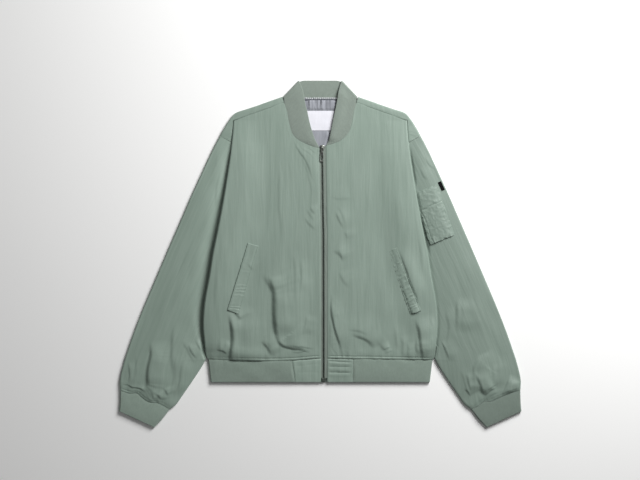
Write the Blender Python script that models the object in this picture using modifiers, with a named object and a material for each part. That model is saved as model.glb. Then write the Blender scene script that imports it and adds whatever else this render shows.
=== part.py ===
"""A zip-up bomber jacket lying flat on its back, front up, sleeves down beside the body.

Units of the tables are millimetres. X is across, Y up the body and Z up from the floor. Tables of
paired pieces hold distances out from the middle, X = 0, and are mirrored by the side they serve:
LEFT is the wearer's left, at +X.
"""
from collections import namedtuple
from math import cos, pi, radians, sin

import bmesh
import bpy
import numpy as np
from mathutils import Matrix, Vector
from mathutils.bvhtree import BVHTree

MM = 0.001
NAME = "bomber_jacket"
LEFT = 1
RIGHT = -1
SIDES = {RIGHT: "right", LEFT: "left"}

# Cloth
SHELL = 2.0             # wall of shell cloth with its lining
RIB = 2.5               # wall of doubled rib knit
SEAM = 0.3              # between pieces at a seam, and between layers
LOFT = 7.0              # height of a front and a back lying on each other
EDGE_LOFT = 5.5         # height of the fronts' folded side edges
RIB_PITCH = 4.2
RIB_RISE = 0.4

# Body
HEM_SEAM_Y = -245.0
HEM_Y = -295.3
HEM_TOP_X = 258.2
HEM_FOOT_X = 252.2
EDGE_SLOPE = 70.0       # width over which a front climbs on to the sleeve under it
BACK_SLOPE = 20.0       # the same for the back
SHOULDER_LEAD = 6.0     # flat cloth before the back turns over the shoulder
ARMHOLE_TOP_Y = 248.5
ARMHOLE_SLOPE = 36.0

# Zip
CHAIN_WIDTH = 5.0
TAPE_FLOOR = 4.6
TAPE_THICKNESS = 1.2
CHAIN_TOP = 6.9
PLACKET = {RIGHT: 6.5, LEFT: 8.5}       # from the zip's middle to each front's edge
ZIP_FOOT_Y = -294.2
BOX_TOP_Y = -286.0
BOX_WIDTH = 9.0
BOX_TOP = 7.2
BOX_ROUNDING = 0.8
SLIDER_FOOT_Y = 236.5
TAPE_END = 2.0          # tapes stop this far below the slider
SLIDER_LENGTH = 14.0
SLIDER_WIDTH = 9.0
SLIDER_TOP = 8.6
SLIDER_ROUNDING = 1.2
SLIDER_TURN = radians(-4)
CROWN_SPAN = 9.0
CROWN_HEIGHT = 4.2
CROWN_BAR = 0.8
PULL_LENGTH = 33.0
PULL_WIDTH = 8.5
PULL_THICKNESS = 1.2
PULL_ROUNDING = 0.5
PULL_PIN = 0.7          # from the hinge axis to the pull's end
PULL_EYE = 5.6
PULL_EYE_WIDTH = 3.6
PULL_EYE_ROUNDING = 0.3
PULL_SLOT_START = 10.5
PULL_SLOT_LENGTH = 17.0
PULL_SLOT_WIDTH = 3.0
PULL_SLOT_ROUNDING = 1.2
PULL_CUT_DEPTH = 4.0    # of what cuts the eye and the slot
PULL_AXIS_RISE = 1.9    # hinge axis over the slider
PULL_DROOP = radians(4.5)

# One row for each height up the body: its folded edge, the hidden side seam, and how high the edge
# lies over what is under it.
Side = namedtuple("Side", "y edge seam lift")
BODY_SIDE = [
    Side(-244.85, 258.3, 247.0, 0.0),
    Side(-240.0, 262.3, 247.5, 0.6),
    Side(-228.0, 264.7, 248.5, 3.0),
    Side(-215.0, 265.8, 249.5, 6.2),
    Side(-205.0, 266.4, 250.0, 7.3),
    Side(-190.0, 268.0, 249.6, 7.3),
    Side(-160.0, 269.8, 242.9, 7.3),
    Side(-130.0, 268.3, 236.1, 7.3),
    Side(-100.0, 264.7, 230.2, 7.3),
    Side(-50.0, 255.5, 220.8, 7.3),
    Side(0.0, 247.7, 210.8, 7.3),
    Side(50.0, 237.5, 201.2, 7.3),
    Side(100.0, 227.8, 192.4, 7.3),
    Side(150.0, 219.0, 186.3, 7.3),
    Side(200.0, 211.0, 184.4, 7.3),
    Side(228.0, 206.8, 184.4, 7.3),
    Side(248.5, 204.4, 187.6, 7.3),
    Side(258.0, 203.4, 189.5, 7.3),
    Side(272.0, 202.2, 189.5, 4.6),
    Side(286.0, 201.2, 189.0, 2.5),
    Side(306.9, 200.0, 188.5, 2.3),
]

# The back's fold over the shoulder and down round its cap, and the front seam that it ends at.
Yoke = namedtuple("Yoke", "fold_x fold_y seam_x seam_y")
YOKE = [
    Yoke(87.9, 361.6, 84.2, 347.8),
    Yoke(112.0, 353.3, 113.0, 337.9),
    Yoke(140.0, 343.2, 141.5, 327.6),
    Yoke(168.0, 333.8, 170.0, 317.6),
    Yoke(194.5, 324.7, 197.5, 308.2),
    Yoke(199.8, 320.4, 200.8, 307.3),
    Yoke(205.2, 314.3, 201.0, 300.0),
    Yoke(212.4, 304.3, 201.9, 287.0),
    Yoke(222.4, 288.0, 202.9, 272.0),
    Yoke(231.1, 272.0, 204.6, 257.6),
]
# The back neck seam from the middle out, and how far the neck edge has turned over the shoulder.
Neck = namedtuple("Neck", "x y turned")
BACK_NECK = [
    Neck(0.0, 354.0, 0.0),
    Neck(25.0, 354.4, 0.0),
    Neck(48.0, 355.6, 0.0),
    Neck(66.0, 357.0, 0.0),
    Neck(80.0, 357.9, 0.0),
    Neck(86.9, 358.2, 0.05),
    Neck(87.2, 358.2, 0.42),
    Neck(87.5, 358.2, 0.72),
]

# The rib collar's front stretches, from the zip to the neck point: where it is sewn on, and its
# free edge. The last row is the fold, which both sides share.
Band = namedtuple("Band", "seam_x seam_y free_x free_y")
COLLAR_FOLD = Band(86.2, 361.3, 50.2, 399.2)
COLLAR = {
    RIGHT: [
        Band(2.4, 243.6, 2.1, 246.0),
        Band(15.0, 246.6, 5.5, 251.5),
        Band(32.0, 253.0, 10.7, 261.0),
        Band(46.0, 260.0, 15.5, 273.5),
        Band(56.5, 267.5, 20.0, 287.0),
        Band(64.5, 278.0, 25.0, 306.0),
        Band(69.0, 291.0, 30.0, 329.0),
        Band(73.0, 309.0, 33.3, 341.0),
        Band(76.4, 327.5, 36.0, 355.0),
        Band(82.6, 347.0, 39.5, 375.0),
    ],
    LEFT: [
        Band(15.0, 249.9, 14.4, 251.9),
        Band(24.0, 252.0, 17.3, 256.0),
        Band(34.0, 255.3, 19.3, 261.5),
        Band(43.0, 259.2, 21.3, 269.0),
        Band(51.5, 264.6, 24.0, 281.0),
        Band(59.5, 272.0, 27.5, 299.0),
        Band(67.0, 283.0, 31.0, 316.0),
        Band(72.0, 298.0, 35.0, 335.0),
        Band(76.2, 321.0, 38.3, 352.0),
        Band(82.6, 347.0, 41.6, 373.0),
    ],
}
COLLAR_BACK = [
    Band(66.0, 357.4, 37.0, 399.3),
    Band(48.0, 356.0, 27.0, 399.3),
    Band(25.0, 354.8, 14.0, 399.3),
    Band(0.0, 354.4, 0.0, 399.3),
]

# A sleeve's two edges, outer and inner, at the same parts of its length.
Sleeve = namedtuple("Sleeve", "outer_x outer_y inner_x inner_y")
SLEEVE = [
    Sleeve(231.1, 271.5, 188.6, 247.6),
    Sleeve(241.3, 252.4, 185.0, 222.0),
    Sleeve(251.3, 232.2, 185.4, 200.0),
    Sleeve(277.3, 176.0, 187.3, 155.0),
    Sleeve(296.4, 134.0, 191.5, 113.0),
    Sleeve(315.5, 89.8, 198.0, 74.0),
    Sleeve(340.0, 33.4, 206.6, 29.0),
    Sleeve(364.6, -24.0, 217.6, -27.0),
    Sleeve(387.2, -77.0, 227.8, -79.0),
    Sleeve(411.0, -134.0, 239.3, -137.0),
    Sleeve(429.2, -181.3, 250.6, -182.0),
    Sleeve(437.6, -205.0, 258.0, -200.0),
    Sleeve(443.0, -221.0, 264.2, -209.5),
    Sleeve(447.0, -232.5, 266.4, -215.0),
    Sleeve(450.6, -244.2, 265.3, -227.5),
    Sleeve(453.9, -255.6, 263.1, -239.8),
    Sleeve(456.8, -266.4, 268.2, -251.5),
    Sleeve(460.6, -284.0, 288.5, -283.8),
    Sleeve(461.7, -297.0, 314.0, -321.2),
    Sleeve(461.4, -306.0, 334.0, -349.2),
    Sleeve(460.7, -314.0, 346.8, -358.6),
]
CUFF = [
    Sleeve(460.8, -314.4, 347.0, -359.0),
    Sleeve(461.2, -338.0, 363.4, -380.2),
    Sleeve(463.0, -362.1, 381.8, -399.3),
]

# The largest folds of each panel: a soft ridge, or a trough where its height is below zero.
Fold = namedtuple("Fold", "x0 y0 x1 y1 width height")
FRONT_FOLDS = {
    RIGHT: [
        Fold(140.0, -50.0, 108.0, -205.0, 9.0, -1.6),
        Fold(124.0, -60.0, 92.0, -208.0, 10.0, 2.2),
        Fold(106.0, -203.0, 50.0, -238.0, 8.0, -1.5),
        Fold(127.0, -196.0, 112.0, -230.0, 7.0, 1.8),
        Fold(212.0, -138.0, 203.0, -238.0, 9.0, 1.8),
        Fold(196.0, -150.0, 190.0, -236.0, 8.0, -1.2),
        Fold(46.0, 238.0, 22.0, 180.0, 9.0, 1.8),
        Fold(24.0, 196.0, 13.0, 140.0, 8.0, -1.3),
        Fold(110.0, 250.0, 122.0, 60.0, 16.0, 1.4),
    ],
    LEFT: [
        Fold(24.0, -106.0, 43.0, -221.0, 8.0, 1.8),
        Fold(36.0, -100.0, 56.0, -224.0, 8.0, -1.3),
        Fold(68.0, -180.0, 119.0, -221.0, 9.0, 1.8),
        Fold(218.0, -147.0, 232.0, -234.0, 9.0, 1.8),
        Fold(204.0, -150.0, 212.0, -236.0, 8.0, -1.2),
        Fold(66.0, 240.0, 78.0, 90.0, 14.0, 1.3),
        Fold(140.0, 230.0, 150.0, 40.0, 16.0, 1.4),
    ],
}
SLEEVE_FOLDS = {
    RIGHT: [
        Fold(396.0, -190.0, 399.0, -298.0, 10.0, 2.6),
        Fold(378.0, -200.0, 384.0, -310.0, 10.0, -1.2),
        Fold(400.0, -298.0, 420.0, -314.0, 8.0, 2.0),
        Fold(330.0, -230.0, 352.0, -320.0, 12.0, 2.2),
        Fold(290.0, 110.0, 345.0, -60.0, 14.0, 1.6),
    ],
    LEFT: [
        Fold(372.0, -215.0, 362.0, -275.0, 10.0, 2.6),
        Fold(362.0, -275.0, 380.0, -330.0, 9.0, 2.4),
        Fold(436.0, -268.0, 427.0, -314.0, 9.0, 2.0),
        Fold(330.0, -40.0, 380.0, -190.0, 14.0, 1.6),
    ],
}

# The middle of the zip, from its top to its foot.
ZIP_Y = [ZIP_FOOT_Y, 30.0, 100.0, 200.0, 250.0]
ZIP_X = [8.0, 7.6, 6.3, 5.0, 4.6]

# Corners of what is sewn on top: opening edge first, then the inner edge, top before foot.
POCKET_WELT = {
    RIGHT: [(166.0, 25.0), (213.0, -129.0), (142.0, 18.0), (187.0, -139.0)],
    LEFT: [(175.0, 14.0), (232.0, -131.0), (156.0, 7.0), (206.0, -139.0)],
}
WELT_THICKNESS = 1.8
SEWN_LIFT = 0.5         # of a welt over the flat facets of its panel
SLEEVE_POCKET = [(268.0, 161.0), (309.0, 44.0), (225.5, 142.0), (253.0, 21.0)]
POCKET_THICKNESS = 2.0
SLEEVE_TAB = [(276.8, 166.8), (285.2, 149.2), (271.6, 164.4), (279.4, 146.8)]
TAB_THICKNESS = 1.0
HEM_TAB_X = {RIGHT: (64.5, 57.5), LEFT: (75.5, 75.0)}   # at the seam and at the foot
TAB_WRINKLE_Y = (-254.0, -271.0)
TAB_WRINKLE = 1.2

# What the neck shows
LINING_THICKNESS = 1.0
LINING_TOP_HALF = 74.0
LINING_FOOT_HALF = 46.0
LINING_TOP_Y = 353.4
LINING_FOOT_Y = 226.0
LINING_GATHERS = 11
LINING_GATHER_RISE = 0.7
LINING_GATHER_DEPTH = 0.17      # part of the lining's length
LABEL_THICKNESS = 0.6
LABEL_X = (-35.0, 33.0)
LABEL_Y = (284.0, 329.0)


def smooth(t):
    """0 to 1 with level ends."""
    t = np.clip(t, 0.0, 1.0)
    return t * t * (3.0 - 2.0 * t)


def column(table, name):
    return np.array([getattr(row, name) for row in table])


def body_side(name, y):
    return np.interp(y, column(BODY_SIDE, "y"), column(BODY_SIDE, name))


def zip_x(y):
    return np.interp(y, ZIP_Y, ZIP_X)


def folded(x, y, folds):
    """Height that the folds add: a bell across each fold's line, level at the line's ends."""
    height = np.zeros(np.broadcast(x, y).shape)
    for fold in folds:
        run = np.array([fold.x1 - fold.x0, fold.y1 - fold.y0])
        along = ((x - fold.x0) * run[0] + (y - fold.y0) * run[1]) / (run @ run)
        along = np.clip(along, 0.0, 1.0)
        off = np.hypot(x - fold.x0 - along * run[0], y - fold.y0 - along * run[1])
        ends = 1.0 - np.abs(2.0 * along - 1.0) ** 3
        height = height + fold.height * ends * np.exp(-((off / fold.width) ** 2))
    return height


def turn(run, height, depth):
    """How far out and how high cloth is, a length past where it starts to turn over.

    It turns half round at the given height. depth is below its outer face.
    """
    radius = height / 2.0
    angle = np.clip(run / radius, 0.0, pi)
    out = (radius - depth) * np.sin(angle)
    out = out + np.minimum(run, 0.0) - np.maximum(run - pi * radius, 0.0)
    level = radius - (radius - depth) * np.cos(angle)
    return out, level


def points(x, y, z):
    return np.stack(np.broadcast_arrays(x, y, z), axis=-1)


def shifted(line, distance):
    """A line moved sideways, to the right of the way it runs."""
    way = np.gradient(line, axis=0)
    way /= np.linalg.norm(way, axis=1, keepdims=True)
    return line + distance * np.stack([way[:, 1], -way[:, 0]], axis=1)


def material(name, colour, roughness, metallic=0.0):
    made = bpy.data.materials.new(name)
    made.use_nodes = True
    channels = [int(colour[i:i + 2], 16) / 255.0 for i in (1, 3, 5)]
    linear = [c / 12.92 if c <= 0.04045 else ((c + 0.055) / 1.055) ** 2.4 for c in channels]
    shader = made.node_tree.nodes["Principled BSDF"]
    shader.inputs["Base Color"].default_value = (*linear, 1.0)
    shader.inputs["Roughness"].default_value = roughness
    shader.inputs["Metallic"].default_value = metallic
    made.diffuse_color = (*linear, 1.0)
    return made


def place(name, mesh, finish):
    """Puts a mesh in the jacket's collection, with its faces pointing out."""
    shape = bmesh.new()
    shape.from_mesh(mesh)
    bmesh.ops.recalc_face_normals(shape, faces=shape.faces)
    shape.to_mesh(mesh)
    shape.free()
    mesh.materials.clear()
    mesh.materials.append(finish)
    piece = bpy.data.objects.new(name, mesh)
    bpy.data.collections[NAME].objects.link(piece)
    return piece


def wall(name, outer, inner, finish, ring=False):
    """A closed wall of cloth between two grids of points, its outer and its inner face."""
    rows, cols = outer.shape[:2]
    index = np.arange(rows * cols).reshape(rows, cols)
    if ring:
        index = np.hstack([index, index[:, :1]])
    far = index + rows * cols

    def quads(a, b, c, d):
        return np.stack([a.ravel(), b.ravel(), c.ravel(), d.ravel()], axis=1)

    faces = [
        quads(index[:-1, :-1], index[:-1, 1:], index[1:, 1:], index[1:, :-1]),
        quads(far[:-1, :-1], far[1:, :-1], far[1:, 1:], far[:-1, 1:]),
        quads(index[0, :-1], far[0, :-1], far[0, 1:], index[0, 1:]),
        quads(index[-1, :-1], index[-1, 1:], far[-1, 1:], far[-1, :-1]),
    ]
    if not ring:
        faces.append(quads(index[:-1, 0], index[1:, 0], far[1:, 0], far[:-1, 0]))
        faces.append(quads(index[:-1, -1], far[:-1, -1], far[1:, -1], index[1:, -1]))
    spots = np.concatenate([outer.reshape(-1, 3), inner.reshape(-1, 3)]) * MM
    mesh = bpy.data.meshes.new(name)
    mesh.from_pydata(spots.tolist(), [], np.concatenate(faces).tolist())
    return place(name, mesh, finish)


def mirrored(side, grid):
    return grid * np.array([side, 1.0, 1.0])


def front_level(side, x, y):
    """Top of a front: level over the back, and climbing on to the sleeve along the side."""
    seam = body_side("seam", y)
    edge_top = body_side("lift", y) + EDGE_LOFT
    climb = smooth((x - seam + EDGE_SLOPE) / EDGE_SLOPE)
    return LOFT + (edge_top - LOFT) * climb + folded(x, y, FRONT_FOLDS[side])


def front_top_edge(side):
    """A front's edge along the collar seam and then the shoulder seam."""
    neck = np.array([[row.seam_x, row.seam_y] for row in COLLAR[side]])
    neck = shifted(neck, SEAM + 0.05)
    start = np.array([side * zip_x(neck[0, 1]) + PLACKET[side], neck[0, 1] - 0.1])
    shoulder = np.array([[row.seam_x, row.seam_y - SEAM - 0.15] for row in YOKE[:5]])
    corner = np.array([BODY_SIDE[-1].edge - EDGE_LOFT / 2.0, BODY_SIDE[-1].y])
    shoulder[-1] = corner
    return np.concatenate([[start], neck[1:], shoulder])


def front(side, finish):
    """A patch between four edges, folded under along its side down to the side seam."""
    top = front_top_edge(side)
    across = np.linspace(0.0, 1.0, len(top))[None, :, None]
    side_y = column(BODY_SIDE, "y")
    up = (side_y - side_y[0]) / (side_y[-1] - side_y[0])
    edge = np.stack([column(BODY_SIDE, "edge") - EDGE_LOFT / 2.0, side_y], axis=1)
    middle_y = side_y[0] + up * (top[0, 1] - side_y[0])
    middle = np.stack([side * zip_x(middle_y) + PLACKET[side], middle_y], axis=1)
    foot = middle[0] + across[0] * (edge[0] - middle[0])
    up = up[:, None, None]
    flat = (1.0 - up) * foot[None] + up * top[None]
    flat = flat + (1.0 - across) * middle[:, None] + across * edge[:, None]
    flat -= (1.0 - up) * ((1.0 - across) * middle[0] + across * edge[0])
    flat -= up * ((1.0 - across) * middle[-1] + across * edge[-1])
    x, y = flat[..., 0], flat[..., 1]
    level = front_level(side, x, y)

    arc = pi * EDGE_LOFT / 2.0
    flap = edge[:, 0] - column(BODY_SIDE, "seam") - SEAM
    edge_top = column(BODY_SIDE, "lift")[:, None] + EDGE_LOFT
    above = level[:, -1:] - edge_top
    run = np.concatenate([
        np.tile(arc * np.array([0.25, 0.5, 0.75, 1.0]), (len(edge), 1)),
        arc + flap[:, None] * np.array([0.5, 1.0]),
    ], axis=1)
    faces = []
    for depth in (0.0, SHELL):
        out, drop = turn(run, EDGE_LOFT, depth)
        folded_z = edge_top + above * (1.0 - np.clip(run / arc, 0.0, 1.0)) - drop
        grid = np.concatenate([
            points(x, y, level - depth),
            points(edge[:, :1] + out, side_y[:, None], folded_z),
        ], axis=1)
        faces.append(mirrored(side, grid))
    return wall(f"front_{SIDES[side]}", *faces, finish)


def back(finish):
    """The back on the floor, turned up over the shoulders and down to the front seams."""
    radius = LOFT / 2.0
    fold = np.stack([column(YOKE, "fold_x"), column(YOKE, "fold_y")], axis=1)
    seam = np.stack([column(YOKE, "seam_x"), column(YOKE, "seam_y")], axis=1)
    inward = (seam - fold) / np.linalg.norm(seam - fold, axis=1, keepdims=True)
    start = fold + inward * radius
    flap = np.linalg.norm(seam - start, axis=1)
    neck = np.stack([column(BACK_NECK, "x"), column(BACK_NECK, "y")], axis=1)
    start = np.concatenate([neck, start])
    inward = np.concatenate([np.tile([0.0, -1.0], (len(neck), 1)), inward])
    flap = np.concatenate([np.full(len(neck), flap[0]), flap])
    turned = np.concatenate([column(BACK_NECK, "turned"), np.ones(len(YOKE))])

    top = start + inward * SHOULDER_LEAD
    side_rows = [row for row in BODY_SIDE if row.y <= ARMHOLE_TOP_Y]
    rim = np.array([[row.seam, row.y] for row in side_rows])
    rim = np.concatenate([rim, [rim[-1] + 0.5 * (top[-1] - rim[-1])], [top[-1]]])
    steps = np.linalg.norm(np.diff(rim, axis=0), axis=1)
    up = np.concatenate([[0.0], np.cumsum(steps)]) / steps.sum()
    across = np.interp(start[:, 0], [0.0, start[-1, 0]], [0.0, 1.0])[None, :, None]
    middle = np.array([0.0, 1.0]) * (rim[0, 1] + up[:, None] * (top[0, 1] - rim[0, 1]))
    foot = middle[0] + across[0] * (rim[0] - middle[0])
    up = up[:, None, None]
    flat = (1.0 - up) * foot[None] + up * top[None]
    flat = flat + (1.0 - across) * middle[:, None] + across * rim[:, None]
    flat -= (1.0 - up) * ((1.0 - across) * middle[0] + across * rim[0])
    flat -= up * ((1.0 - across) * middle[-1] + across * rim[-1])

    beside = body_side("seam", flat[..., 1]) - flat[..., 0]
    below_armhole = smooth((ARMHOLE_TOP_Y - flat[..., 1]) / ARMHOLE_SLOPE)
    climb = body_side("lift", flat[..., 1]) * below_armhole * smooth(1.0 - beside / BACK_SLOPE)

    arc = pi * radius
    full = np.concatenate([
        np.tile(arc * np.array([0.0, 0.25, 0.5, 0.75, 1.0]), (len(start), 1)),
        arc + flap[:, None] * np.array([0.5, 1.0]),
    ], axis=1).T
    short = np.linspace(-SHOULDER_LEAD, 0.0, len(full) + 1)[1:, None]
    run = short + (full - short) * turned ** 0.5
    run = np.minimum(run, turned * (arc + flap) + 0.05 * short)
    faces = []
    for depth in (0.0, SHELL):
        out, level = turn(run, LOFT, depth)
        ends = start[None] - inward[None] * out[..., None]
        grid = np.concatenate([
            points(flat[..., 0], flat[..., 1], climb + depth),
            points(ends[..., 0], ends[..., 1], level),
        ])
        faces.append(np.concatenate([mirrored(RIGHT, grid[:, :0:-1]), grid], axis=1))
    return wall("back_panel", *faces, finish)


def flat_tube(table, height, wall_thickness, counts, rise):
    """Rings of a tube pressed flat: over the top from outer to inner edge, and back on the floor."""
    outer = np.stack([column(table, "outer_x"), column(table, "outer_y")], axis=1)
    inner = np.stack([column(table, "inner_x"), column(table, "inner_y")], axis=1)
    width = np.linalg.norm(inner - outer, axis=1)[:, None]
    way = (inner - outer) / width
    radius = height / 2.0
    top_count, arc_count, floor_count = counts
    over = radius + (width - height) * np.linspace(0.0, 1.0, top_count + 1)
    under = radius + (width - height) * np.linspace(1.0, 0.0, floor_count + 1)
    angle = np.linspace(0.0, pi, arc_count + 1)[1:-1]
    faces = []
    for depth in (0.0, wall_thickness):
        bend = (radius - depth) * np.sin(angle)
        lift = (radius - depth) * np.cos(angle)
        distance = np.hstack([
            over,
            width - radius + bend,
            under,
            np.tile(radius - bend, (len(width), 1)),
        ])
        level = np.hstack([
            np.full(over.shape, height - depth),
            np.tile(radius + lift, (len(width), 1)),
            np.full(under.shape, depth),
            np.tile(radius - lift, (len(width), 1)),
        ])
        spots = outer[:, None] + way[:, None] * distance[..., None]
        x, y = spots[..., 0], spots[..., 1]
        level[:, :top_count + 1] += rise(x, y, depth)[:, :top_count + 1]
        faces.append(points(x, y, level))
    return faces


def sleeve(side, finish):
    def rise(x, y, depth):
        return folded(x, y, SLEEVE_FOLDS[side])

    faces = flat_tube(SLEEVE, LOFT, SHELL, (10, 4, 4), rise)
    faces = [mirrored(side, grid) for grid in faces]
    return wall(f"sleeve_{SIDES[side]}", *faces, finish, ring=True)


def cuff(side, finish):
    """A flat tube whose upper outer face is ribbed along the arm."""
    mouth = np.hypot(CUFF[0].outer_x - CUFF[0].inner_x, CUFF[0].outer_y - CUFF[0].inner_y)
    ribs = int(mouth / RIB_PITCH)

    def rise(x, y, depth):
        ridge = RIB_RISE * (np.arange(x.shape[1]) % 2)
        return np.broadcast_to(ridge if depth == 0.0 else 0.0 * ridge, x.shape)

    faces = flat_tube(CUFF, LOFT, RIB, (2 * ribs, 4, 4), rise)
    faces = [mirrored(side, grid) for grid in faces]
    return wall(f"cuff_{SIDES[side]}", *faces, finish, ring=True)


def along_band(rows, pitch):
    """Places along a band, two for each rib, on straight runs between its rows."""
    seam = np.stack([column(rows, "seam_x"), column(rows, "seam_y")], axis=1)
    free = np.stack([column(rows, "free_x"), column(rows, "free_y")], axis=1)
    steps = np.linalg.norm(np.diff(0.5 * (seam + free), axis=0), axis=1)
    marks = np.concatenate([[0.0], np.cumsum(steps)])
    count = 2 * max(int(marks[-1] / pitch), 1)
    places = np.linspace(0.0, marks[-1], count + 1)
    places = np.unique(np.concatenate([places, marks]).round(3))
    keep = np.concatenate([[True], np.diff(places) > 0.25 * pitch / 2.0])
    places = places[keep]
    places[-1] = marks[-1]

    def read(line):
        return np.stack([np.interp(places, marks, line[:, k]) for k in (0, 1)], axis=1)

    return read(seam), read(free)


def collar(finish):
    """One band of rib, over the fronts, folded at both neck points and on round the back."""
    radius = LOFT / 2.0
    fold = np.array([[COLLAR_FOLD.seam_x, COLLAR_FOLD.seam_y],
                     [COLLAR_FOLD.free_x, COLLAR_FOLD.free_y]])
    along = (fold[1] - fold[0]) / np.linalg.norm(fold[1] - fold[0])
    outward = np.array([along[1], -along[0]])
    start = fold - outward * radius
    turning = Band(*start[0], *start[1])
    angles = np.linspace(0.0, pi, 5)[1:-1]
    back_seam, back_free = along_band([turning] + COLLAR_BACK, RIB_PITCH)
    outer, inner = [], []

    def stretch(side, seam, free, ridged_face, on_top):
        ridge = RIB_RISE * (np.arange(len(seam)) % 2)
        for index, face in enumerate((outer, inner)):
            depth = RIB if index else 0.0
            level = LOFT - depth if on_top else depth
            bump = ridge if index == ridged_face else 0.0 * ridge
            level = level + bump
            middle = 0.5 * (seam + free)
            line = np.stack([points(p[:, 0], p[:, 1], level) for p in (seam, middle, free)])
            face.append(mirrored(side, line))

    def bend(side, falling):
        for depth, face in ((0.0, outer), (RIB, inner)):
            turnings = angles if falling else angles[::-1]
            out = (radius - depth) * np.sin(turnings)
            level = radius + (radius - depth) * np.cos(turnings)
            ends = [start[0], 0.5 * (start[0] + start[1]), start[1]]
            line = np.stack([
                points(end[0] + outward[0] * out, end[1] + outward[1] * out, level) for end in ends
            ])
            face.append(mirrored(side, line))

    seam, free = along_band(COLLAR[RIGHT] + [turning], RIB_PITCH)
    stretch(RIGHT, seam, free, 0, True)
    bend(RIGHT, True)
    stretch(RIGHT, back_seam, back_free, 1, False)
    stretch(LEFT, back_seam[-2::-1], back_free[-2::-1], 1, False)
    bend(LEFT, False)
    seam, free = along_band(COLLAR[LEFT] + [turning], RIB_PITCH)
    stretch(LEFT, seam[::-1], free[::-1], 0, True)
    return wall("collar_rib", np.concatenate(outer, axis=1), np.concatenate(inner, axis=1), finish)


def hem(finish):
    """The rib band round the back, folded at both sides, to the zip's woven tabs."""
    radius = LOFT / 2.0
    angles = np.linspace(0.0, pi, 5)[1:-1]
    heights = np.array([HEM_SEAM_Y - SEAM / 2.0, HEM_Y])
    sides = np.array([HEM_TOP_X, HEM_FOOT_X]) - radius
    faces = []
    for depth in (0.0, RIB):
        lines = []
        for row, y in enumerate(heights):
            stretches = []
            for side in (RIGHT, LEFT):
                tab = HEM_TAB_X[side][row] + SEAM
                ribs = int((sides[0] - HEM_TAB_X[side][0]) / RIB_PITCH)
                x = np.linspace(tab, sides[row], 2 * ribs + 1)
                ridge = RIB_RISE * (np.arange(len(x)) % 2) * (depth == 0.0)
                front_x = np.concatenate([x, sides[row] + (radius - depth) * np.sin(angles)])
                front_z = np.concatenate([
                    LOFT - depth + ridge,
                    radius + (radius - depth) * np.cos(angles),
                ])
                stretches.append(points(side * front_x, y, front_z))
            floor_x = np.linspace(-sides[row], sides[row], 9)
            floor = points(floor_x, y, depth)
            lines.append(np.concatenate([stretches[0], floor, stretches[1][::-1]]))
        faces.append(np.stack(lines))
    return wall("hem_rib", *faces, finish)


def top_of(panel):
    """Height of a built panel's upper face over any places on it."""
    tree = BVHTree.FromObject(panel, bpy.context.evaluated_depsgraph_get())

    def level(x, y):
        spots = zip((x * MM).ravel(), (y * MM).ravel())
        hits = [tree.ray_cast(Vector((px, py, 0.1)), Vector((0.0, 0.0, -1.0)))[0].z
                for px, py in spots]
        return np.array(hits).reshape(x.shape) / MM

    return level


def patch(name, corners, level, lift, thickness, finish, side=1, cells=(3, 8)):
    """A piece sewn on top of a panel: the panel's own height, moved out by lift."""
    outer_top, outer_foot, inner_top, inner_foot = [np.array(corner) for corner in corners]
    across = np.linspace(0.0, 1.0, cells[0] + 1)[None, :, None]
    along = np.linspace(0.0, 1.0, cells[1] + 1)[:, None, None]
    inner_line = inner_foot + along * (inner_top - inner_foot)
    outer_line = outer_foot + along * (outer_top - outer_foot)
    flat = inner_line + across * (outer_line - inner_line)
    x, y = side * flat[..., 0], flat[..., 1]
    base = level(x, y) + lift
    faces = [points(x, y, base + rise) for rise in (thickness, 0.0)]
    return wall(name, *faces, finish)


def hem_tab(side, finish):
    """The woven end of the hem beside the zip, with its cross wrinkles."""
    seam_x, foot_x = HEM_TAB_X[side]
    top_y = HEM_SEAM_Y - SEAM / 2.0
    zip_top = side * zip_x(top_y) + PLACKET[side]
    zip_foot = side * zip_x(HEM_Y) + PLACKET[side]

    def level(x, y):
        wrinkle = sum(np.exp(-((y - at) / 4.0) ** 2) for at in TAB_WRINKLE_Y)
        ends = smooth((side * x - zip_top) / 20.0) * smooth((seam_x - side * x) / 20.0)
        return LOFT - SHELL + TAB_WRINKLE * wrinkle * ends * (side == LEFT)

    corners = [(seam_x, top_y), (foot_x, HEM_Y), (zip_top, top_y), (zip_foot, HEM_Y)]
    return patch(f"hem_tab_{SIDES[side]}", corners, level, 0.0, SHELL, finish, side, (5, 9))


def strip(name, left, right, y, floor, top, finish):
    """A flat strip along the zip, its edges set off from the zip's middle."""
    x = np.stack([zip_x(y) + left, zip_x(y) + right], axis=1)
    faces = [points(x, y[:, None], level) for level in (top, floor)]
    return wall(name, *faces, finish)


def lining(finish):
    """Back lining that shows in the neck, gathered along the neck seam."""
    across = np.linspace(-1.0, 1.0, 4 * LINING_GATHERS + 1)
    down = np.array([0.0, 0.3, 0.6, 1.0, 0.5 + 0.5 / LINING_GATHER_DEPTH, 1.0 / LINING_GATHER_DEPTH])
    down = (down * LINING_GATHER_DEPTH)[:, None]
    half = LINING_TOP_HALF + (LINING_FOOT_HALF - LINING_TOP_HALF) * down
    x = across * half
    y = LINING_TOP_Y + (LINING_FOOT_Y - LINING_TOP_Y) * down + 0.0 * across
    fullness = (1.0 - smooth(down / LINING_GATHER_DEPTH)) * (1.0 - across ** 8)
    rise = LINING_GATHER_RISE * 0.5 * (1.0 - np.cos(2.0 * pi * LINING_GATHERS * across)) * fullness
    base = SHELL + SEAM + rise
    faces = [points(x, y, base + LINING_THICKNESS), points(x, y, base)]
    return wall("lining_back", *faces, finish)


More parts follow.
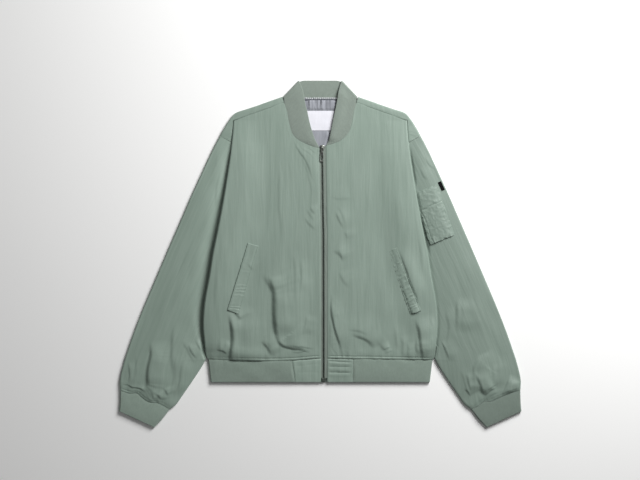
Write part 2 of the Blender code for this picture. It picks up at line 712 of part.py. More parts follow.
def label(finish):
    base = SHELL + LINING_THICKNESS + 2.0 * SEAM
    x = np.linspace(*LABEL_X, 2)[None, :]
    y = np.linspace(*LABEL_Y, 2)[:, None]
    faces = [points(x, y, level) for level in (base + LABEL_THICKNESS, base)]
    return wall("neck_label", *faces, finish)


def block(size, centre, rounding, segments=2):
    """A box with rounded edges, in the units of the tables."""
    bpy.ops.mesh.primitive_cube_add(size=1.0)
    box = bpy.context.object
    box.data.transform(Matrix.Translation(Vector(centre)) @ Matrix.Diagonal((*size, 1.0)))
    bevel = box.modifiers.new("edges", "BEVEL")
    bevel.width = rounding
    bevel.segments = segments
    return box


def baked(item):
    """The evaluated mesh of a working object, which is then removed."""
    graph = bpy.context.evaluated_depsgraph_get()
    mesh = bpy.data.meshes.new_from_object(item.evaluated_get(graph))
    bpy.data.objects.remove(item)
    return mesh


def combined(base, tool, operation):
    """A working object joined to, or cut by, another."""
    step = base.modifiers.new("step", "BOOLEAN")
    step.object = tool
    step.operation = operation
    mesh = baked(base)
    bpy.data.objects.remove(tool)
    result = bpy.data.objects.new("working", mesh)
    bpy.context.scene.collection.objects.link(result)
    return result


def slider_frame():
    """The slider's own axes: origin on its pull's hinge, turned a little about Z."""
    y = SLIDER_FOOT_Y + SLIDER_LENGTH / 2.0
    origin = Vector((float(zip_x(y)), y, SLIDER_TOP + PULL_AXIS_RISE))
    return Matrix.Translation(origin) @ Matrix.Rotation(SLIDER_TURN, 4, "Z")


def hard_piece(name, working, frame, finish):
    mesh = baked(working)
    mesh.transform(frame)
    mesh.transform(Matrix.Scale(MM, 4))
    return place(name, mesh, finish)


def slider(finish):
    """The slider's body, with the crown that the pull hangs in."""
    depth = SLIDER_TOP - TAPE_FLOOR
    size = (SLIDER_WIDTH, SLIDER_LENGTH, depth)
    body = block(size, (0.0, 0.0, -PULL_AXIS_RISE - depth / 2.0), SLIDER_ROUNDING)
    curve = bpy.data.curves.new("crown", "CURVE")
    curve.dimensions = "3D"
    curve.bevel_depth = CROWN_BAR
    curve.bevel_resolution = 2
    curve.use_fill_caps = True
    spline = curve.splines.new("POLY")
    angles = np.linspace(0.0, pi, 11)
    spline.points.add(len(angles) - 1)
    for point, angle in zip(spline.points, angles):
        y = -CROWN_SPAN / 2.0 * cos(angle)
        z = CROWN_HEIGHT * sin(angle) ** 0.7 if 0.0 < angle < pi else -CROWN_BAR
        point.co = (0.0, y, z - PULL_AXIS_RISE, 1.0)
    crown = bpy.data.objects.new("crown", curve)
    bpy.context.scene.collection.objects.link(crown)
    mesh = baked(crown)
    shape = bmesh.new()
    shape.from_mesh(mesh)
    bmesh.ops.remove_doubles(shape, verts=shape.verts, dist=0.001)
    bmesh.ops.recalc_face_normals(shape, faces=shape.faces)
    shape.to_mesh(mesh)
    shape.free()
    crown = bpy.data.objects.new("crown", mesh)
    bpy.context.scene.collection.objects.link(crown)
    body = combined(body, crown, "UNION")
    return hard_piece("zip_slider", body, slider_frame(), finish)


def pull(finish):
    """The pull tab, hanging down over the chain, with an eye round the crown and a long slot."""
    size = (PULL_WIDTH, PULL_LENGTH, PULL_THICKNESS)
    body = block(size, (0.0, PULL_PIN - PULL_LENGTH / 2.0, 0.0), PULL_ROUNDING)
    eye_size = (PULL_EYE_WIDTH, PULL_EYE, PULL_CUT_DEPTH)
    eye_middle = -PULL_PIN - PULL_EYE / 2.0
    eye = block(eye_size, (0.0, eye_middle, 0.0), PULL_EYE_ROUNDING, 1)
    body = combined(body, eye, "DIFFERENCE")
    slot_size = (PULL_SLOT_WIDTH, PULL_SLOT_LENGTH, PULL_CUT_DEPTH)
    slot_middle = -PULL_SLOT_START - PULL_SLOT_LENGTH / 2.0
    slot = block(slot_size, (0.0, slot_middle, 0.0), PULL_SLOT_ROUNDING)
    body = combined(body, slot, "DIFFERENCE")
    frame = slider_frame() @ Matrix.Rotation(PULL_DROOP, 4, "X")
    return hard_piece("zip_pull", body, frame, finish)


def zip_parts(tape, metal):
    half = CHAIN_WIDTH / 2.0
    top = TAPE_FLOOR + TAPE_THICKNESS
    tape_y = np.array([BOX_TOP_Y + SEAM, *ZIP_Y[1:-1], SLIDER_FOOT_Y - TAPE_END])
    chain_y = np.array([BOX_TOP_Y + SEAM, *ZIP_Y[1:-1], SLIDER_FOOT_Y - SEAM])
    strip("zip_tape_left", half + SEAM, PLACKET[LEFT] - SEAM, tape_y, TAPE_FLOOR, top, tape)
    strip("zip_tape_right", SEAM - PLACKET[RIGHT], -half - SEAM, tape_y, TAPE_FLOOR, top, tape)
    strip("zip_chain", -half, half, chain_y, TAPE_FLOOR, CHAIN_TOP, metal)
    length = BOX_TOP_Y - ZIP_FOOT_Y
    centre = (ZIP_X[0], ZIP_FOOT_Y + length / 2.0, (TAPE_FLOOR + BOX_TOP) / 2.0)
    box = block((BOX_WIDTH, length, BOX_TOP - TAPE_FLOOR), centre, BOX_ROUNDING)
    hard_piece("zip_box", box, Matrix.Identity(4), metal)
    slider(metal)
    pull(metal)


def main():
    for item in list(bpy.data.objects):
        bpy.data.objects.remove(item)
    bpy.context.scene.collection.children.link(bpy.data.collections.new(NAME))
    shell = material("crinkled_nylon", "#88998D", 0.6)
    ribbing = material("rib_knit", "#8A968B", 0.85)
    satin = material("lining_satin", "#9A9AA5", 0.4)
    woven_label = material("woven_label", "#EDEBF0", 0.6)
    black_tape = material("black_webbing", "#17181A", 0.7)
    zip_cloth = material("zip_tape", "#868C84", 0.8)
    metal = material("dark_nickel", "#4A4C48", 0.35, 1.0)

    back(shell)
    collar(ribbing)
    hem(ribbing)
    for side in SIDES:
        on_front = top_of(front(side, shell))
        patch(f"pocket_welt_{SIDES[side]}", POCKET_WELT[side], on_front, SEWN_LIFT,
              WELT_THICKNESS, shell, side, (5, 20))
        cuff(side, ribbing)
        hem_tab(side, shell)
    sleeve(RIGHT, shell)
    on_sleeve = top_of(sleeve(LEFT, shell))
    patch("sleeve_pocket", SLEEVE_POCKET, on_sleeve, SEAM, POCKET_THICKNESS, shell, LEFT, (5, 7))
    patch("sleeve_tab", SLEEVE_TAB, on_sleeve, SEAM, TAB_THICKNESS, black_tape, LEFT, (1, 2))
    lining(satin)
    label(woven_label)
    zip_parts(zip_cloth, metal)


main()
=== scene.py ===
# A zip-up bomber jacket in crinkled nylon with rib trims, laid flat on its back.
# Sizes in the settings are millimetres: X across, Y up the body, Z up from the floor.
# Paired pieces give distances out from the middle and are mirrored to their side.
from math import cos, pi, radians, sin

import bpy
import bmesh
import numpy as np
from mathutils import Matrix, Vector


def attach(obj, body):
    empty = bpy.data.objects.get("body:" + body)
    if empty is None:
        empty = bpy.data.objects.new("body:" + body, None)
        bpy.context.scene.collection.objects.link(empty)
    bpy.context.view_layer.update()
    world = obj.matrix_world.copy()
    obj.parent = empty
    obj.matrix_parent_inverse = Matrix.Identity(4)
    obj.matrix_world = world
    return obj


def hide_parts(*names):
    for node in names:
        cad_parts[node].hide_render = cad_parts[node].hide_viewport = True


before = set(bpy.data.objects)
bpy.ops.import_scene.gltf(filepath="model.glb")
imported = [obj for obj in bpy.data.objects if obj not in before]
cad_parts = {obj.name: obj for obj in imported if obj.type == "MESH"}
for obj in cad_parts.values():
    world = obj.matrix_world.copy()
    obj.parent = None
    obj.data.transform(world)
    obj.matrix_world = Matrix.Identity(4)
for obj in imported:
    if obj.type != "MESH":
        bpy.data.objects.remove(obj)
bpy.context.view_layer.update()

mm = 0.001
leftSide, rightSide = 1, -1     # the wearer's, so left is at +X
bothSides = (rightSide, leftSide)
fine = 1.0       # share of the full number of rows and columns


def sided(name, side):
    # the name of one of a pair
    return name + ("_right" if side == rightSide else "_left")


def ease(t):
    # 0 to 1 along t, with level ends: 3t^2 - 2t^3
    t = np.clip(t, 0, 1)
    return t * t * (3 - 2 * t)


def hill(distance, width, power=2):
    # a rounded ridge, 1 at its crest; a lower power gives a sharper crest
    return np.exp(-np.abs(distance / width) ** power)


def steps(count, crowd=0):
    # 0 to 1 in even steps, crowded towards both ends: t - c sin(2 pi t) / 2 pi
    t = np.linspace(0, 1, max(int(round(count * fine)), 4) + 1)
    return t - crowd * np.sin(2 * pi * t) / (2 * pi)


def swell(t, power=1.0):
    # 0 at both ends of t and 1 in its middle: a half turn of a sine, fuller for a lower power
    return np.sin(pi * t) ** power


def grid(*parts):
    # coordinates of fitting shapes put together as points
    return np.stack(np.broadcast_arrays(*parts), axis=-1)


def joined(parts):
    # grids of points side by side
    return np.concatenate(parts, axis=1)


def readRows(rows, knots, places):
    # values between rows on cubics whose slopes are the harmonic mean of both neighbours' slopes
    rows, knots = np.asarray(rows, float), np.asarray(knots, float)
    flat = rows.reshape(len(rows), -1)
    gaps = np.diff(knots)[:, None]
    slopes = np.diff(flat, axis=0) / gaps
    both = slopes[:-1] + slopes[1:]
    mean = 2 * slopes[:-1] * slopes[1:] / np.where(np.abs(both) < 1e-9, 1, both)
    mean = np.where(slopes[:-1] * slopes[1:] > 0, mean, 0)
    tangents = np.concatenate([slopes[:1], mean, slopes[-1:]])
    spots = np.clip(np.asarray(places, float), knots[0], knots[-1])
    k = np.clip(np.searchsorted(knots, spots.ravel(), side="right") - 1, 0, len(gaps) - 1)
    t = ((spots.ravel() - knots[k]) / gaps[k, 0])[:, None]
    a, b, ta, tb = flat[k], flat[k + 1], tangents[k] * gaps[k], tangents[k + 1] * gaps[k]
    value = (a * (1 + 2 * t) * (1 - t) ** 2 + ta * t * (1 - t) ** 2
             + b * t * t * (3 - 2 * t) - tb * t * t * (1 - t))
    return value.reshape(spots.shape + rows.shape[1:])


def readTable(table, places, column=1):
    # one column of a table at any places along its first column
    return readRows(table[:, column], table[:, 0], places)


def partsOf(line):
    # the lengths from point to point
    return np.linalg.norm(np.diff(np.asarray(line, float), axis=0), axis=1)


def alongLine(line):
    # how far along a line each of its points is, from 0 to 1
    marks = np.concatenate([[0], np.cumsum(partsOf(line))])
    return marks / marks[-1]


def smoothLine(line, places):
    # a line's points at places from 0 to 1 along it
    return readRows(line, alongLine(line), places)


def middleLine(edges):
    # half way between both edges of a band
    return 0.5 * (edges[:, :2] + edges[:, 2:])


def bandAt(edges, places):
    # both edges of a band at places from 0 to 1 along its middle line
    return readRows(edges, alongLine(middleLine(edges)), places)


def unit(way):
    # directions brought to length 1
    return way / np.linalg.norm(way, axis=-1, keepdims=True)


def sideways(line, distance):
    # a line moved to the right of the way it runs
    way = unit(np.gradient(line, axis=0))
    return line + distance * grid(way[:, 1], -way[:, 0])


def softNoise(u, v, seed):
    # random heights from -1 to 1 on a square lattice, eased between its corners
    rows, columns = 97, 89
    heights = np.random.default_rng(seed).uniform(-1, 1, (rows, columns))
    i, j = np.floor(u).astype(int), np.floor(v).astype(int)
    a, b = ease(u - i), ease(v - j)
    corner = [[heights[(i + p) % rows, (j + q) % columns] for q in (0, 1)] for p in (0, 1)]
    near, far = [low + (high - low) * b for low, high in corner]
    return near + (far - near) * a


def turned(x, y, angle):
    # places turned about the middle
    return x * cos(angle) - y * sin(angle), x * sin(angle) + y * cos(angle)


def crinkle(across, along, seed):
    # long narrow ripples of pressed nylon: three lattices, each finer and stretched along the
    # grain, all bent sideways by a fourth, and thin sharp ridges where a fifth crosses zero
    bent = across + 7 * softNoise(across / 70, along / 55, seed)
    height = sum(rise * softNoise(bent / wide, along / tall, seed + layer)
                 for layer, wide, tall, rise in ((1, 34, 210, 0.9), (2, 14, 105, 0.45),
                                                 (3, 6.5, 50, 0.2)))
    sharp = softNoise(bent / 15, along / 120, seed + 5)
    part = ease(0.5 + 1.4 * softNoise(across / 60, along / 90, seed + 6))
    return height + 0.7 * part * (0.4 - np.sqrt(sharp ** 2 + 0.003))


def crumple(x, y, size, seed):
    # crisp little facets: ridges where soft noise crosses zero, on three turned lattices, each
    # finer than the last, their places pushed about
    bent = [place + 0.3 * size * softNoise(x / size, y / size, seed + k)
            for k, place in enumerate((x, y))]
    height = 0
    for layer, angle, share in ((2, 0.5, 1), (3, 1.7, 0.6), (4, 2.6, 0.36)):
        u, v = turned(*bent, angle)
        flat = softNoise(u / (share * size), v / (share * size), seed + layer)
        height = height + share * (0.4 - np.sqrt(flat ** 2 + 0.004))
    return height


def creaseHeight(x, y, creases, side, seed):
    # each crease is a step in the cloth along a smooth, slightly wandering line, fading to its
    # ends: the cloth climbs over the crease's width, steepest first, and sinks back slowly. It
    # slumps down and to the wearer's right, so it climbs on the other side of every line
    height = np.zeros(np.broadcast(x, y).shape)
    small = 0.5 * softNoise(x / 7, y / 11, seed + 2)
    wanderX = x + 1.6 * softNoise(x / 21, y / 34, seed) + small
    wanderY = y + 1.6 * softNoise(x / 21 + 40, y / 34, seed) - small
    uneven = 0.95 + 0.2 * softNoise(x / 26 + 7, y / 40, seed + 1)
    reach = 10.5                # how many widths away a crease is still felt
    sinking = 9                 # widths over which the cloth sinks back
    steepness, ending = 1.5, 0.36       # of the climb, and the part of a crease that fades out
    for width, rise, *spots in creases:
        line = smoothLine(np.array(spots, float).reshape(-1, 2), np.linspace(0, 1, 28))
        low, high = line.min(axis=0) - reach * width, line.max(axis=0) + reach * width
        near = (x > low[0]) & (x < high[0]) & (y > low[1]) & (y < high[1])
        run, whole = np.diff(line, axis=0), line[-1] - line[0]
        dx = wanderX[near][:, None] - line[:-1, 0]
        dy = wanderY[near][:, None] - line[:-1, 1]
        t = np.clip((dx * run[:, 0] + dy * run[:, 1]) / np.hypot(*run.T) ** 2, 0, 1)
        away = np.hypot(dx - t * run[:, 0], dy - t * run[:, 1])
        best = away.argmin(axis=1)
        pick = (np.arange(len(best)), best)
        turn = np.sign(run[best, 0] * dy[pick] - run[best, 1] * dx[pick])
        off = away[pick] * turn * np.sign(whole[0] - side * whole[1]) / width
        place = (best + t[pick]) / len(run)
        fade = ease(np.minimum(place, 1 - place) / ending)
        climb = 1 - (1 - np.clip(off, 0, 1)) ** steepness
        shape = climb * (1 - ease((off - 1) / sinking))
        height[near] += rise * fade * shape * uneven[near]
    return height


def swellHeight(x, y, swells):
    # flat-topped pillows with soft edges: middle, half size and height
    return sum(rise * np.exp(-((x - middleX) / halfX) ** 4 - ((y - middleY) / halfY) ** 4)
               for middleX, middleY, halfX, halfY, rise in swells)


def turnOver(run, height, depth):
    # how far out and how high cloth is, a length past where it starts to turn half round;
    # depth is below its outer face
    radius = height / 2
    angle = np.clip(run / radius, 0, pi)
    out = (radius - depth) * np.sin(angle)
    out = out + np.minimum(run, 0) - np.maximum(run - pi * radius, 0)
    return out, radius - (radius - depth) * np.cos(angle)


def edgeRound(distance, radius):
    # how far a face has dropped where its edge is rounded: a quarter circle
    inside = radius - np.clip(distance, 0, radius)
    return radius - np.sqrt(np.maximum(radius ** 2 - inside ** 2, 0))


def flattened(value, power):
    # a sine or cosine pushed out towards -1 and 1, which makes a circle a rounded box
    return np.sign(value) * np.abs(value) ** power


def wholeTurn(count):
    # angles evenly round a circle
    return np.linspace(0, 2 * pi, count + 1)[:-1]


def halfTurn(count):
    # angles between the two ends of a half circle
    return np.linspace(0, pi, count + 1)[1:-1]


def edgePatch(foot, top, near, far):
    # a surface between four edge lines: both pairs blended, less the corners counted twice
    u, v = alongLine(foot)[None, :, None], alongLine(far)[:, None, None]
    flat = (1 - v) * foot[None] + v * top[None] + (1 - u) * near[:, None] + u * far[:, None]
    flat = flat - (1 - v) * ((1 - u) * foot[0] + u * foot[-1])
    return flat - v * ((1 - u) * top[0] + u * top[-1])


def placed(name, spots, faces, material, places=None, sharp=55):
    # points and faces made an object of the jacket: its faces point out and are smooth but for
    # sharp edges, and each corner's place on the flat cloth is kept as a UV map in metres
    mesh = bpy.data.meshes.new(name)
    mesh.from_pydata((spots.reshape(-1, 3) * mm).tolist(), [], faces)
    if places is not None:
        layer = mesh.uv_layers.new(name="cloth")
        layer.data.foreach_set("uv", (places * mm).ravel())
    shape = bmesh.new()
    shape.from_mesh(mesh)
    bmesh.ops.recalc_face_normals(shape, faces=shape.faces)
    shape.to_mesh(mesh)
    shape.free()
    mesh.shade_smooth()
    mesh.set_sharp_from_angle(angle=radians(sharp))
    mesh.materials.append(material)
    return inScene(bpy.data.objects.new(name, mesh))


def inScene(thing):
    # puts an object in the scene
    bpy.context.scene.collection.objects.link(thing)
    return thing


def clothWall(name, outer, inner, material, grain, ring=False, side=1):
    # a closed wall of cloth between two grids of points. grain is each point's place on the flat
    # cloth, across and along; a ring has one more column of it
    rows, cols = outer.shape[:2]
    index = np.arange(rows * cols).reshape(rows, cols)
    flat = np.arange(grain.shape[0] * grain.shape[1]).reshape(grain.shape[:2])
    if ring:
        index = np.hstack([index, index[:, :1]])

    def quads(a, b):
        # both faces and the strips that close them along their open edges
        parts = [
            (a[:-1, :-1], a[:-1, 1:], a[1:, 1:], a[1:, :-1]),
            (b[:-1, :-1], b[1:, :-1], b[1:, 1:], b[:-1, 1:]),
            (a[0, :-1], b[0, :-1], b[0, 1:], a[0, 1:]),
            (a[-1, :-1], a[-1, 1:], b[-1, 1:], b[-1, :-1]),
        ]
        if not ring:
            parts.append((a[:-1, 0], a[1:, 0], b[1:, 0], b[:-1, 0]))
            parts.append((a[:-1, -1], b[:-1, -1], b[1:, -1], a[1:, -1]))
        return np.concatenate([np.stack([p.ravel() for p in part], axis=1) for part in parts])

    spots = np.concatenate([outer.reshape(-1, 3), inner.reshape(-1, 3)]) * [side, 1, 1]
    places = grain.reshape(-1, 2)[quads(flat, flat).ravel()]
    return placed(name, spots, quads(index, index + rows * cols).tolist(), material, places)


def levelWall(name, x, y, top, low, material, side=1):
    # a wall of cloth between two heights over the same places, which are its grain too
    return clothWall(name, grid(x, y, top), grid(x, y, low), material, grid(side * x, y),
                     side=side)


def sewnIn(piece, nodes=(), cut=None, area=None, under=()):
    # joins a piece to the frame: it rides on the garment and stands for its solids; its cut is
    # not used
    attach(piece, "garment")
    if nodes:
        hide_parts(*nodes)


def linearColor(code):
    # an sRGB hex colour turned to linear light
    parts = np.array([int(code[i:i + 2], 16) / 255.0 for i in (1, 3, 5)])
    parts = np.where(parts <= 0.04045, parts / 12.92, ((parts + 0.055) / 1.055) ** 2.4)
    return (*parts.tolist(), 1.0)


def fillInputs(node, inputs):
    # each named input linked to another node's output, or set
    for name, value in inputs.items():
        if isinstance(value, bpy.types.NodeSocket):
            node.id_data.links.new(value, node.inputs[name])
        else:
            node.inputs[name].default_value = value


def addNode(tree, kind, inputs=(), out=0, **settings):
    # one node with its settings and inputs; gives one of its outputs
    node = tree.nodes.new("ShaderNode" + kind)
    for name, value in settings.items():
        setattr(node, name, value)
    fillInputs(node, dict(inputs))
    return node.outputs[out]


def newMaterial(name, roughness, metallic=0.0, sheen=0.0, sheenRoughness=0.5, specular=0.5):
    # a shader with its even values set on its own sockets
    material = bpy.data.materials.new(name)
    material.use_nodes = True
    shader = material.node_tree.nodes["Principled BSDF"]
    fillInputs(shader, {"Roughness": roughness, "Metallic": metallic, "Sheen Weight": sheen,
                        "Sheen Roughness": sheenRoughness, "Specular IOR Level": specular})
    return material, material.node_tree, shader


def onCloth(tree, across, along, lean=0):
    # coordinates on the flat cloth in which a pattern of this size in metres is 1 wide
    cloth = addNode(tree, "UVMap", uv_map="cloth")
    return addNode(tree, "Mapping", {"Vector": cloth, "Scale": (1 / across, 1 / along, 1.0),
                                     "Rotation": (0.0, 0.0, radians(lean))})


def clouds(tree, across, along, detail=2.0, bent=0.0, lean=0):
    # soft noise of this size on the cloth
    return addNode(tree, "TexNoise", {"Vector": onCloth(tree, across, along, lean), "Scale": 1.0,
                                      "Detail": detail, "Distortion": bent})


def bands(tree, across, along, way, **inputs):
    # rounded stripes of this size: a sine from 0 to 1
    return addNode(tree, "TexWave", {"Vector": onCloth(tree, across, along), "Scale": pi / 10,
                                     **inputs}, "Fac", bands_direction=way)


def threads(tree, size):
    # threads that cross at right angles: the product of stripes both ways
    ways = [bands(tree, size, size, way) for way in ("X", "Y")]
    return addNode(tree, "Math", dict(enumerate(ways)), operation="MULTIPLY")


def spread(tree, value, low, high, toLow=0.0, toHigh=1.0):
    # a value from low to high stretched to another range
    return addNode(tree, "MapRange", {0: value, 1: low, 2: high, 3: toLow, 4: toHigh})


def blended(tree, part, first, second):
    # two sRGB colours, or a colour from before and one more, mixed by a part
    first, second = [linearColor(c) if isinstance(c, str) else c for c in (first, second)]
    return addNode(tree, "Mix", {0: part, 6: first, 7: second}, 2, data_type="RGBA")


def shaded(tree, color, noise, shade, vary):
    # a colour made lighter and darker by noise, about one shade
    tint = spread(tree, noise, 0.3, 0.7, (1 - vary) * shade, (1 + vary) * shade)
    return addNode(tree, "VectorMath", {0: color, "Scale": tint}, operation="SCALE")


def bumped(tree, *layers):
    # fine relief, each layer's height, depth in metres and strength put on the one before
    bump = {}
    for height, depth, strength in layers:
        bump = {"Normal": addNode(tree, "Bump", {"Height": height, "Distance": depth,
                                                 "Strength": strength, **bump})}
    return bump


nylonLook = {
    "color": "#839489", "paleColor": "#8D9D92", "deepColor": "#788A7E",
    "streak": (0.009, 0.110),       # fine pressed streaks, across and along the grain
    "fleck": (0.0024, 0.018),       # hairline crinkles
    "cloud": (0.07, 0.13),
    "thread": 0.0011,               # woven threads, four times their real 0.28 mm to show
    "roughness": 0.58,
}


def crinkledNylon(name="crinkledNylon", shade=1.0):
    # tightly woven nylon taffeta, washed and pressed into lengthways crinkles: matt, with a faint
    # silky sheen; its colour is paler on the crests of the streaks and deeper in their hollows,
    # partly rubbed wear and partly painted shade. shade, above or below 1, paints the whole cloth
    # paler or deeper
    look = nylonLook
    material, tree, shader = newMaterial(name, look["roughness"], sheen=0.12, sheenRoughness=0.45)
    streak = clouds(tree, *look["streak"], bent=0.4)
    fleck = clouds(tree, *look["fleck"], bent=0.8, lean=4)
    cloud = clouds(tree, *look["cloud"])
    # the streaks that raise the bump also pale the colour on its crests and deepen it in its
    # hollows: rubbed wear and painted shade
    rubbedAndShaded = blended(tree, spread(tree, streak, 0.3, 0.7), look["deepColor"], look["paleColor"])
    color = shaded(tree, blended(tree, 0.72, rubbedAndShaded, look["color"]), cloud, shade, 0.03)
    relief = bumped(tree, (streak, 0.0011, 0.55), (fleck, 0.00022, 0.6),
                    (threads(tree, look["thread"]), 0.00003, 0.5))
    fillInputs(shader, {"Base Color": color, **relief})
    return material


ribLook = {
    "color": "#859188", "deepColor": "#707C72", "roughness": 0.85,
    "loop": 0.0013,                 # height of a knitted loop along the rib, in metres
    "pitch": 2.4,                   # from rib to rib
    "rise": 0.34,
}


def ribKnit(name="ribKnit", shade=1.0, look=ribLook):
    # polyester and elastane rib: matt, with painted shade between its ribs, and small loops up
    # each rib
    material, tree, shader = newMaterial(name, look["roughness"], sheen=0.3, sheenRoughness=0.6)
    pitch, loop = look["pitch"] * mm, look["loop"]
    ribs = bands(tree, pitch, pitch, "X", **{"Phase Offset": pi})
    loops = bands(tree, loop * 2, loop, "Y", Distortion=1.2, Detail=1.0)
    fuzz = clouds(tree, 0.004, 0.009, 3.0)
    # the stripes that follow the ribs paint the colour deeper between them: painted shade
    base = blended(tree, spread(tree, ribs, 0.0, 0.7), look["deepColor"], look["color"])
    fillInputs(shader, {"Base Color": shaded(tree, base, fuzz, shade, 0.05),
                        **bumped(tree, (loops, 0.00012, 0.6), (fuzz, 0.0002, 0.5))})
    return material


def wovenCloth(name, color, deepColor, thread, roughness, rise=0.00008, specular=0.5):
    # threads crossing at right angles, thread metres apart: satin, tape, webbing and label cloth
    # differ in their colours, thread size and gloss
    material, tree, shader = newMaterial(name, roughness, specular=specular)
    part = spread(tree, clouds(tree, 0.006, 0.03), 0.3, 0.7, 0.5)
    fillInputs(shader, {"Base Color": blended(tree, part, deepColor, color),
                        **bumped(tree, (threads(tree, thread), rise, 0.7))})
    return material


def platedZinc(name, deepColor, color, roughness):
    # cast zinc plated in nickel: a soft mirror, duller where hands have rubbed it
    material, tree, shader = newMaterial(name, roughness, metallic=1.0)
    place = addNode(tree, "TexCoord", out="Object")
    wear = addNode(tree, "TexNoise", {"Vector": place, "Scale": 700.0, "Detail": 3.0})
    fillInputs(shader, {
        "Base Color": blended(tree, spread(tree, wear, 0.35, 0.65), deepColor, color),
        "Roughness": spread(tree, wear, 0.3, 0.7, roughness - 0.06, roughness + 0.08)})
    return material


nylon, rib = crinkledNylon(), ribKnit(shade=0.96)
# copies of the nylon painted paler for the right arm and deeper for the left: painted light and
# painted shade for how the light falls across the arms
armNylonPaintedLightAndShade = {rightSide: crinkledNylon("paintedLightCrinkledNylon", 1.12),
            leftSide: crinkledNylon("paintedShadeCrinkledNylon", 0.87)}
# the hem and cuffs are knitted tighter than the collar, from a greener yarn
tightRib = dict(ribLook, color="#85958A", deepColor="#708075")
hemRib = ribKnit("hemRibKnit", 1.0, tightRib)
# the cuffs' rib is painted paler on the right arm and deeper on the left: painted light and
# painted shade
armRibPaintedLightAndShade = {rightSide: ribKnit("paintedLightCuffRibKnit", 1.24, tightRib),
          leftSide: ribKnit("paintedShadeCuffRibKnit", 0.79, tightRib)}
satin = wovenCloth("polyesterSatin", "#9B9EA5", "#808389", 0.0006, 0.42, 0.00002, 0.25)
labelCloth = wovenCloth("wovenLabelTaffeta", "#E3E3EA", "#D8D8E0", 0.0006, 0.5, 0.00003)
webbing = wovenCloth("blackNylonWebbing", "#0C0D0D", "#060606", 0.0012, 0.8, 0.0001, 0.12)
tapeCloth = wovenCloth("zipTapePolyester", "#7F8A81", "#6E7971", 0.0010, 0.8, 0.00010)
# a dark grey strip along the neck seam stands in for the shadow line under the collar: painted
# shadow
neckShadowCloth = wovenCloth("paintedNeckShadowCloth", "#5E6168", "#484B51", 0.0008, 0.8, 0.00008, 0.3)
thread = wovenCloth("sewingThread", "#8A9B8F", "#76877C", 0.0004, 0.55, 0.00004)
paleThread = wovenCloth("overlockThread", "#DEDFE4", "#CCCDD3", 0.0004, 0.6, 0.00004)
# the teeth take a deeper copy of the slider's plated metal, which paints the shade among them
shadedToothMetal = platedZinc("paintedShadeNickelTeeth", "#535A54", "#737B74", 0.36)
trimMetal = platedZinc("polishedDarkNickel", "#7A7E78", "#A0A49E", 0.36)
print("materials made")


bodyCut = {
    "loft": 7,                  # top of a front over the back
    "shell": 2,
    "rib": 2.5,
    "gap": 0.3,                 # between pieces at a seam
    "hemSeamY": -245,
    "climb": 70,                # over which a front climbs on to the sleeve under it
    "side": np.array([          # height up the body, folded edge, side seam, fold's foot and top
        (-244.85, 258.3, 247, 0, 6.4), (-240, 262.3, 247.5, 0.6, 7.6),
        (-228, 264.7, 248.5, 3, 10.2), (-215, 265.8, 249.5, 6.2, 12.8),
        (-205, 266.4, 250, 7.3, 13.6), (-190, 268, 249.6, 7.3, 13.8),
        (-160, 269.8, 242.9, 7.3, 13.8), (-130, 268.3, 236.1, 7.3, 13.8),
        (-100, 264.7, 230.2, 7.3, 13.8), (-50, 255.5, 220.8, 7.3, 13.8),
        (0, 247.7, 210.8, 7.3, 13.8), (50, 237.5, 201.2, 7.3, 13.8),
        (100, 227.8, 192.4, 7.3, 13.8), (150, 219, 186.3, 7.3, 13.8),
        (200, 211, 184.4, 7.3, 13.8), (228, 206.8, 184.4, 7.2, 13.4),
        (248.5, 204.4, 187.6, 6.6, 12.6), (258, 203.4, 189.5, 6.2, 12),
        (272, 202.2, 189.5, 4.6, 11), (286, 201.2, 189, 2.5, 9.9),
        (306.9, 200, 188.5, 2.3, 8.2)]),
    "zip": np.array([           # height up the body, middle of the zip
        (-296, 8), (30, 7.6), (100, 6.3), (200, 5), (252, 4.6)]),
    "placket": {rightSide: 6.5, leftSide: 8.5},     # from the zip's middle to a front's edge
    "hemWave": np.array([       # across the body, and how far its hem seam wanders upwards
        (-262, 2), (-190, 0), (-115, -1.6), (-60, 0.2), (-4, 4.4), (17, 4.6),
        (80, 3.4), (143, 2.6), (200, 1.4), (262, 0.4)]),
}
shoulderCut = {
    "yoke": np.array([          # the back's fold over the shoulder, and the seam that it ends at
        (87.2, 361.9, 83.5, 348), (112, 353.3, 113, 337.9), (140, 343.2, 141.5, 327.6),
        (168, 333.8, 170, 317.6), (194.5, 324.7, 197.5, 308.2), (199.8, 320.4, 200.8, 307.3),
        (205.2, 314.3, 201, 300), (212.4, 304.3, 201.9, 287), (222.4, 288, 202.9, 272),
        (231.1, 272, 204.6, 257.6)]),
    "neck": np.array([          # the back neck from its middle out, and how far it is turned over
        (0, 354, 0), (25, 354.4, 0), (48, 355.6, 0), (66, 357, 0),
        (80, 357.9, 0), (86.9, 358.2, 0.05), (87.2, 358.2, 0.42), (87.5, 358.2, 0.72)]),
    "lead": 6,                  # flat cloth before the back turns over the shoulder
    "armholeTop": 248.5,
    "armholeClimb": 36,
    "sideClimb": 20,
    "cut": (0.54, 0.64), "area": 0.27,
}
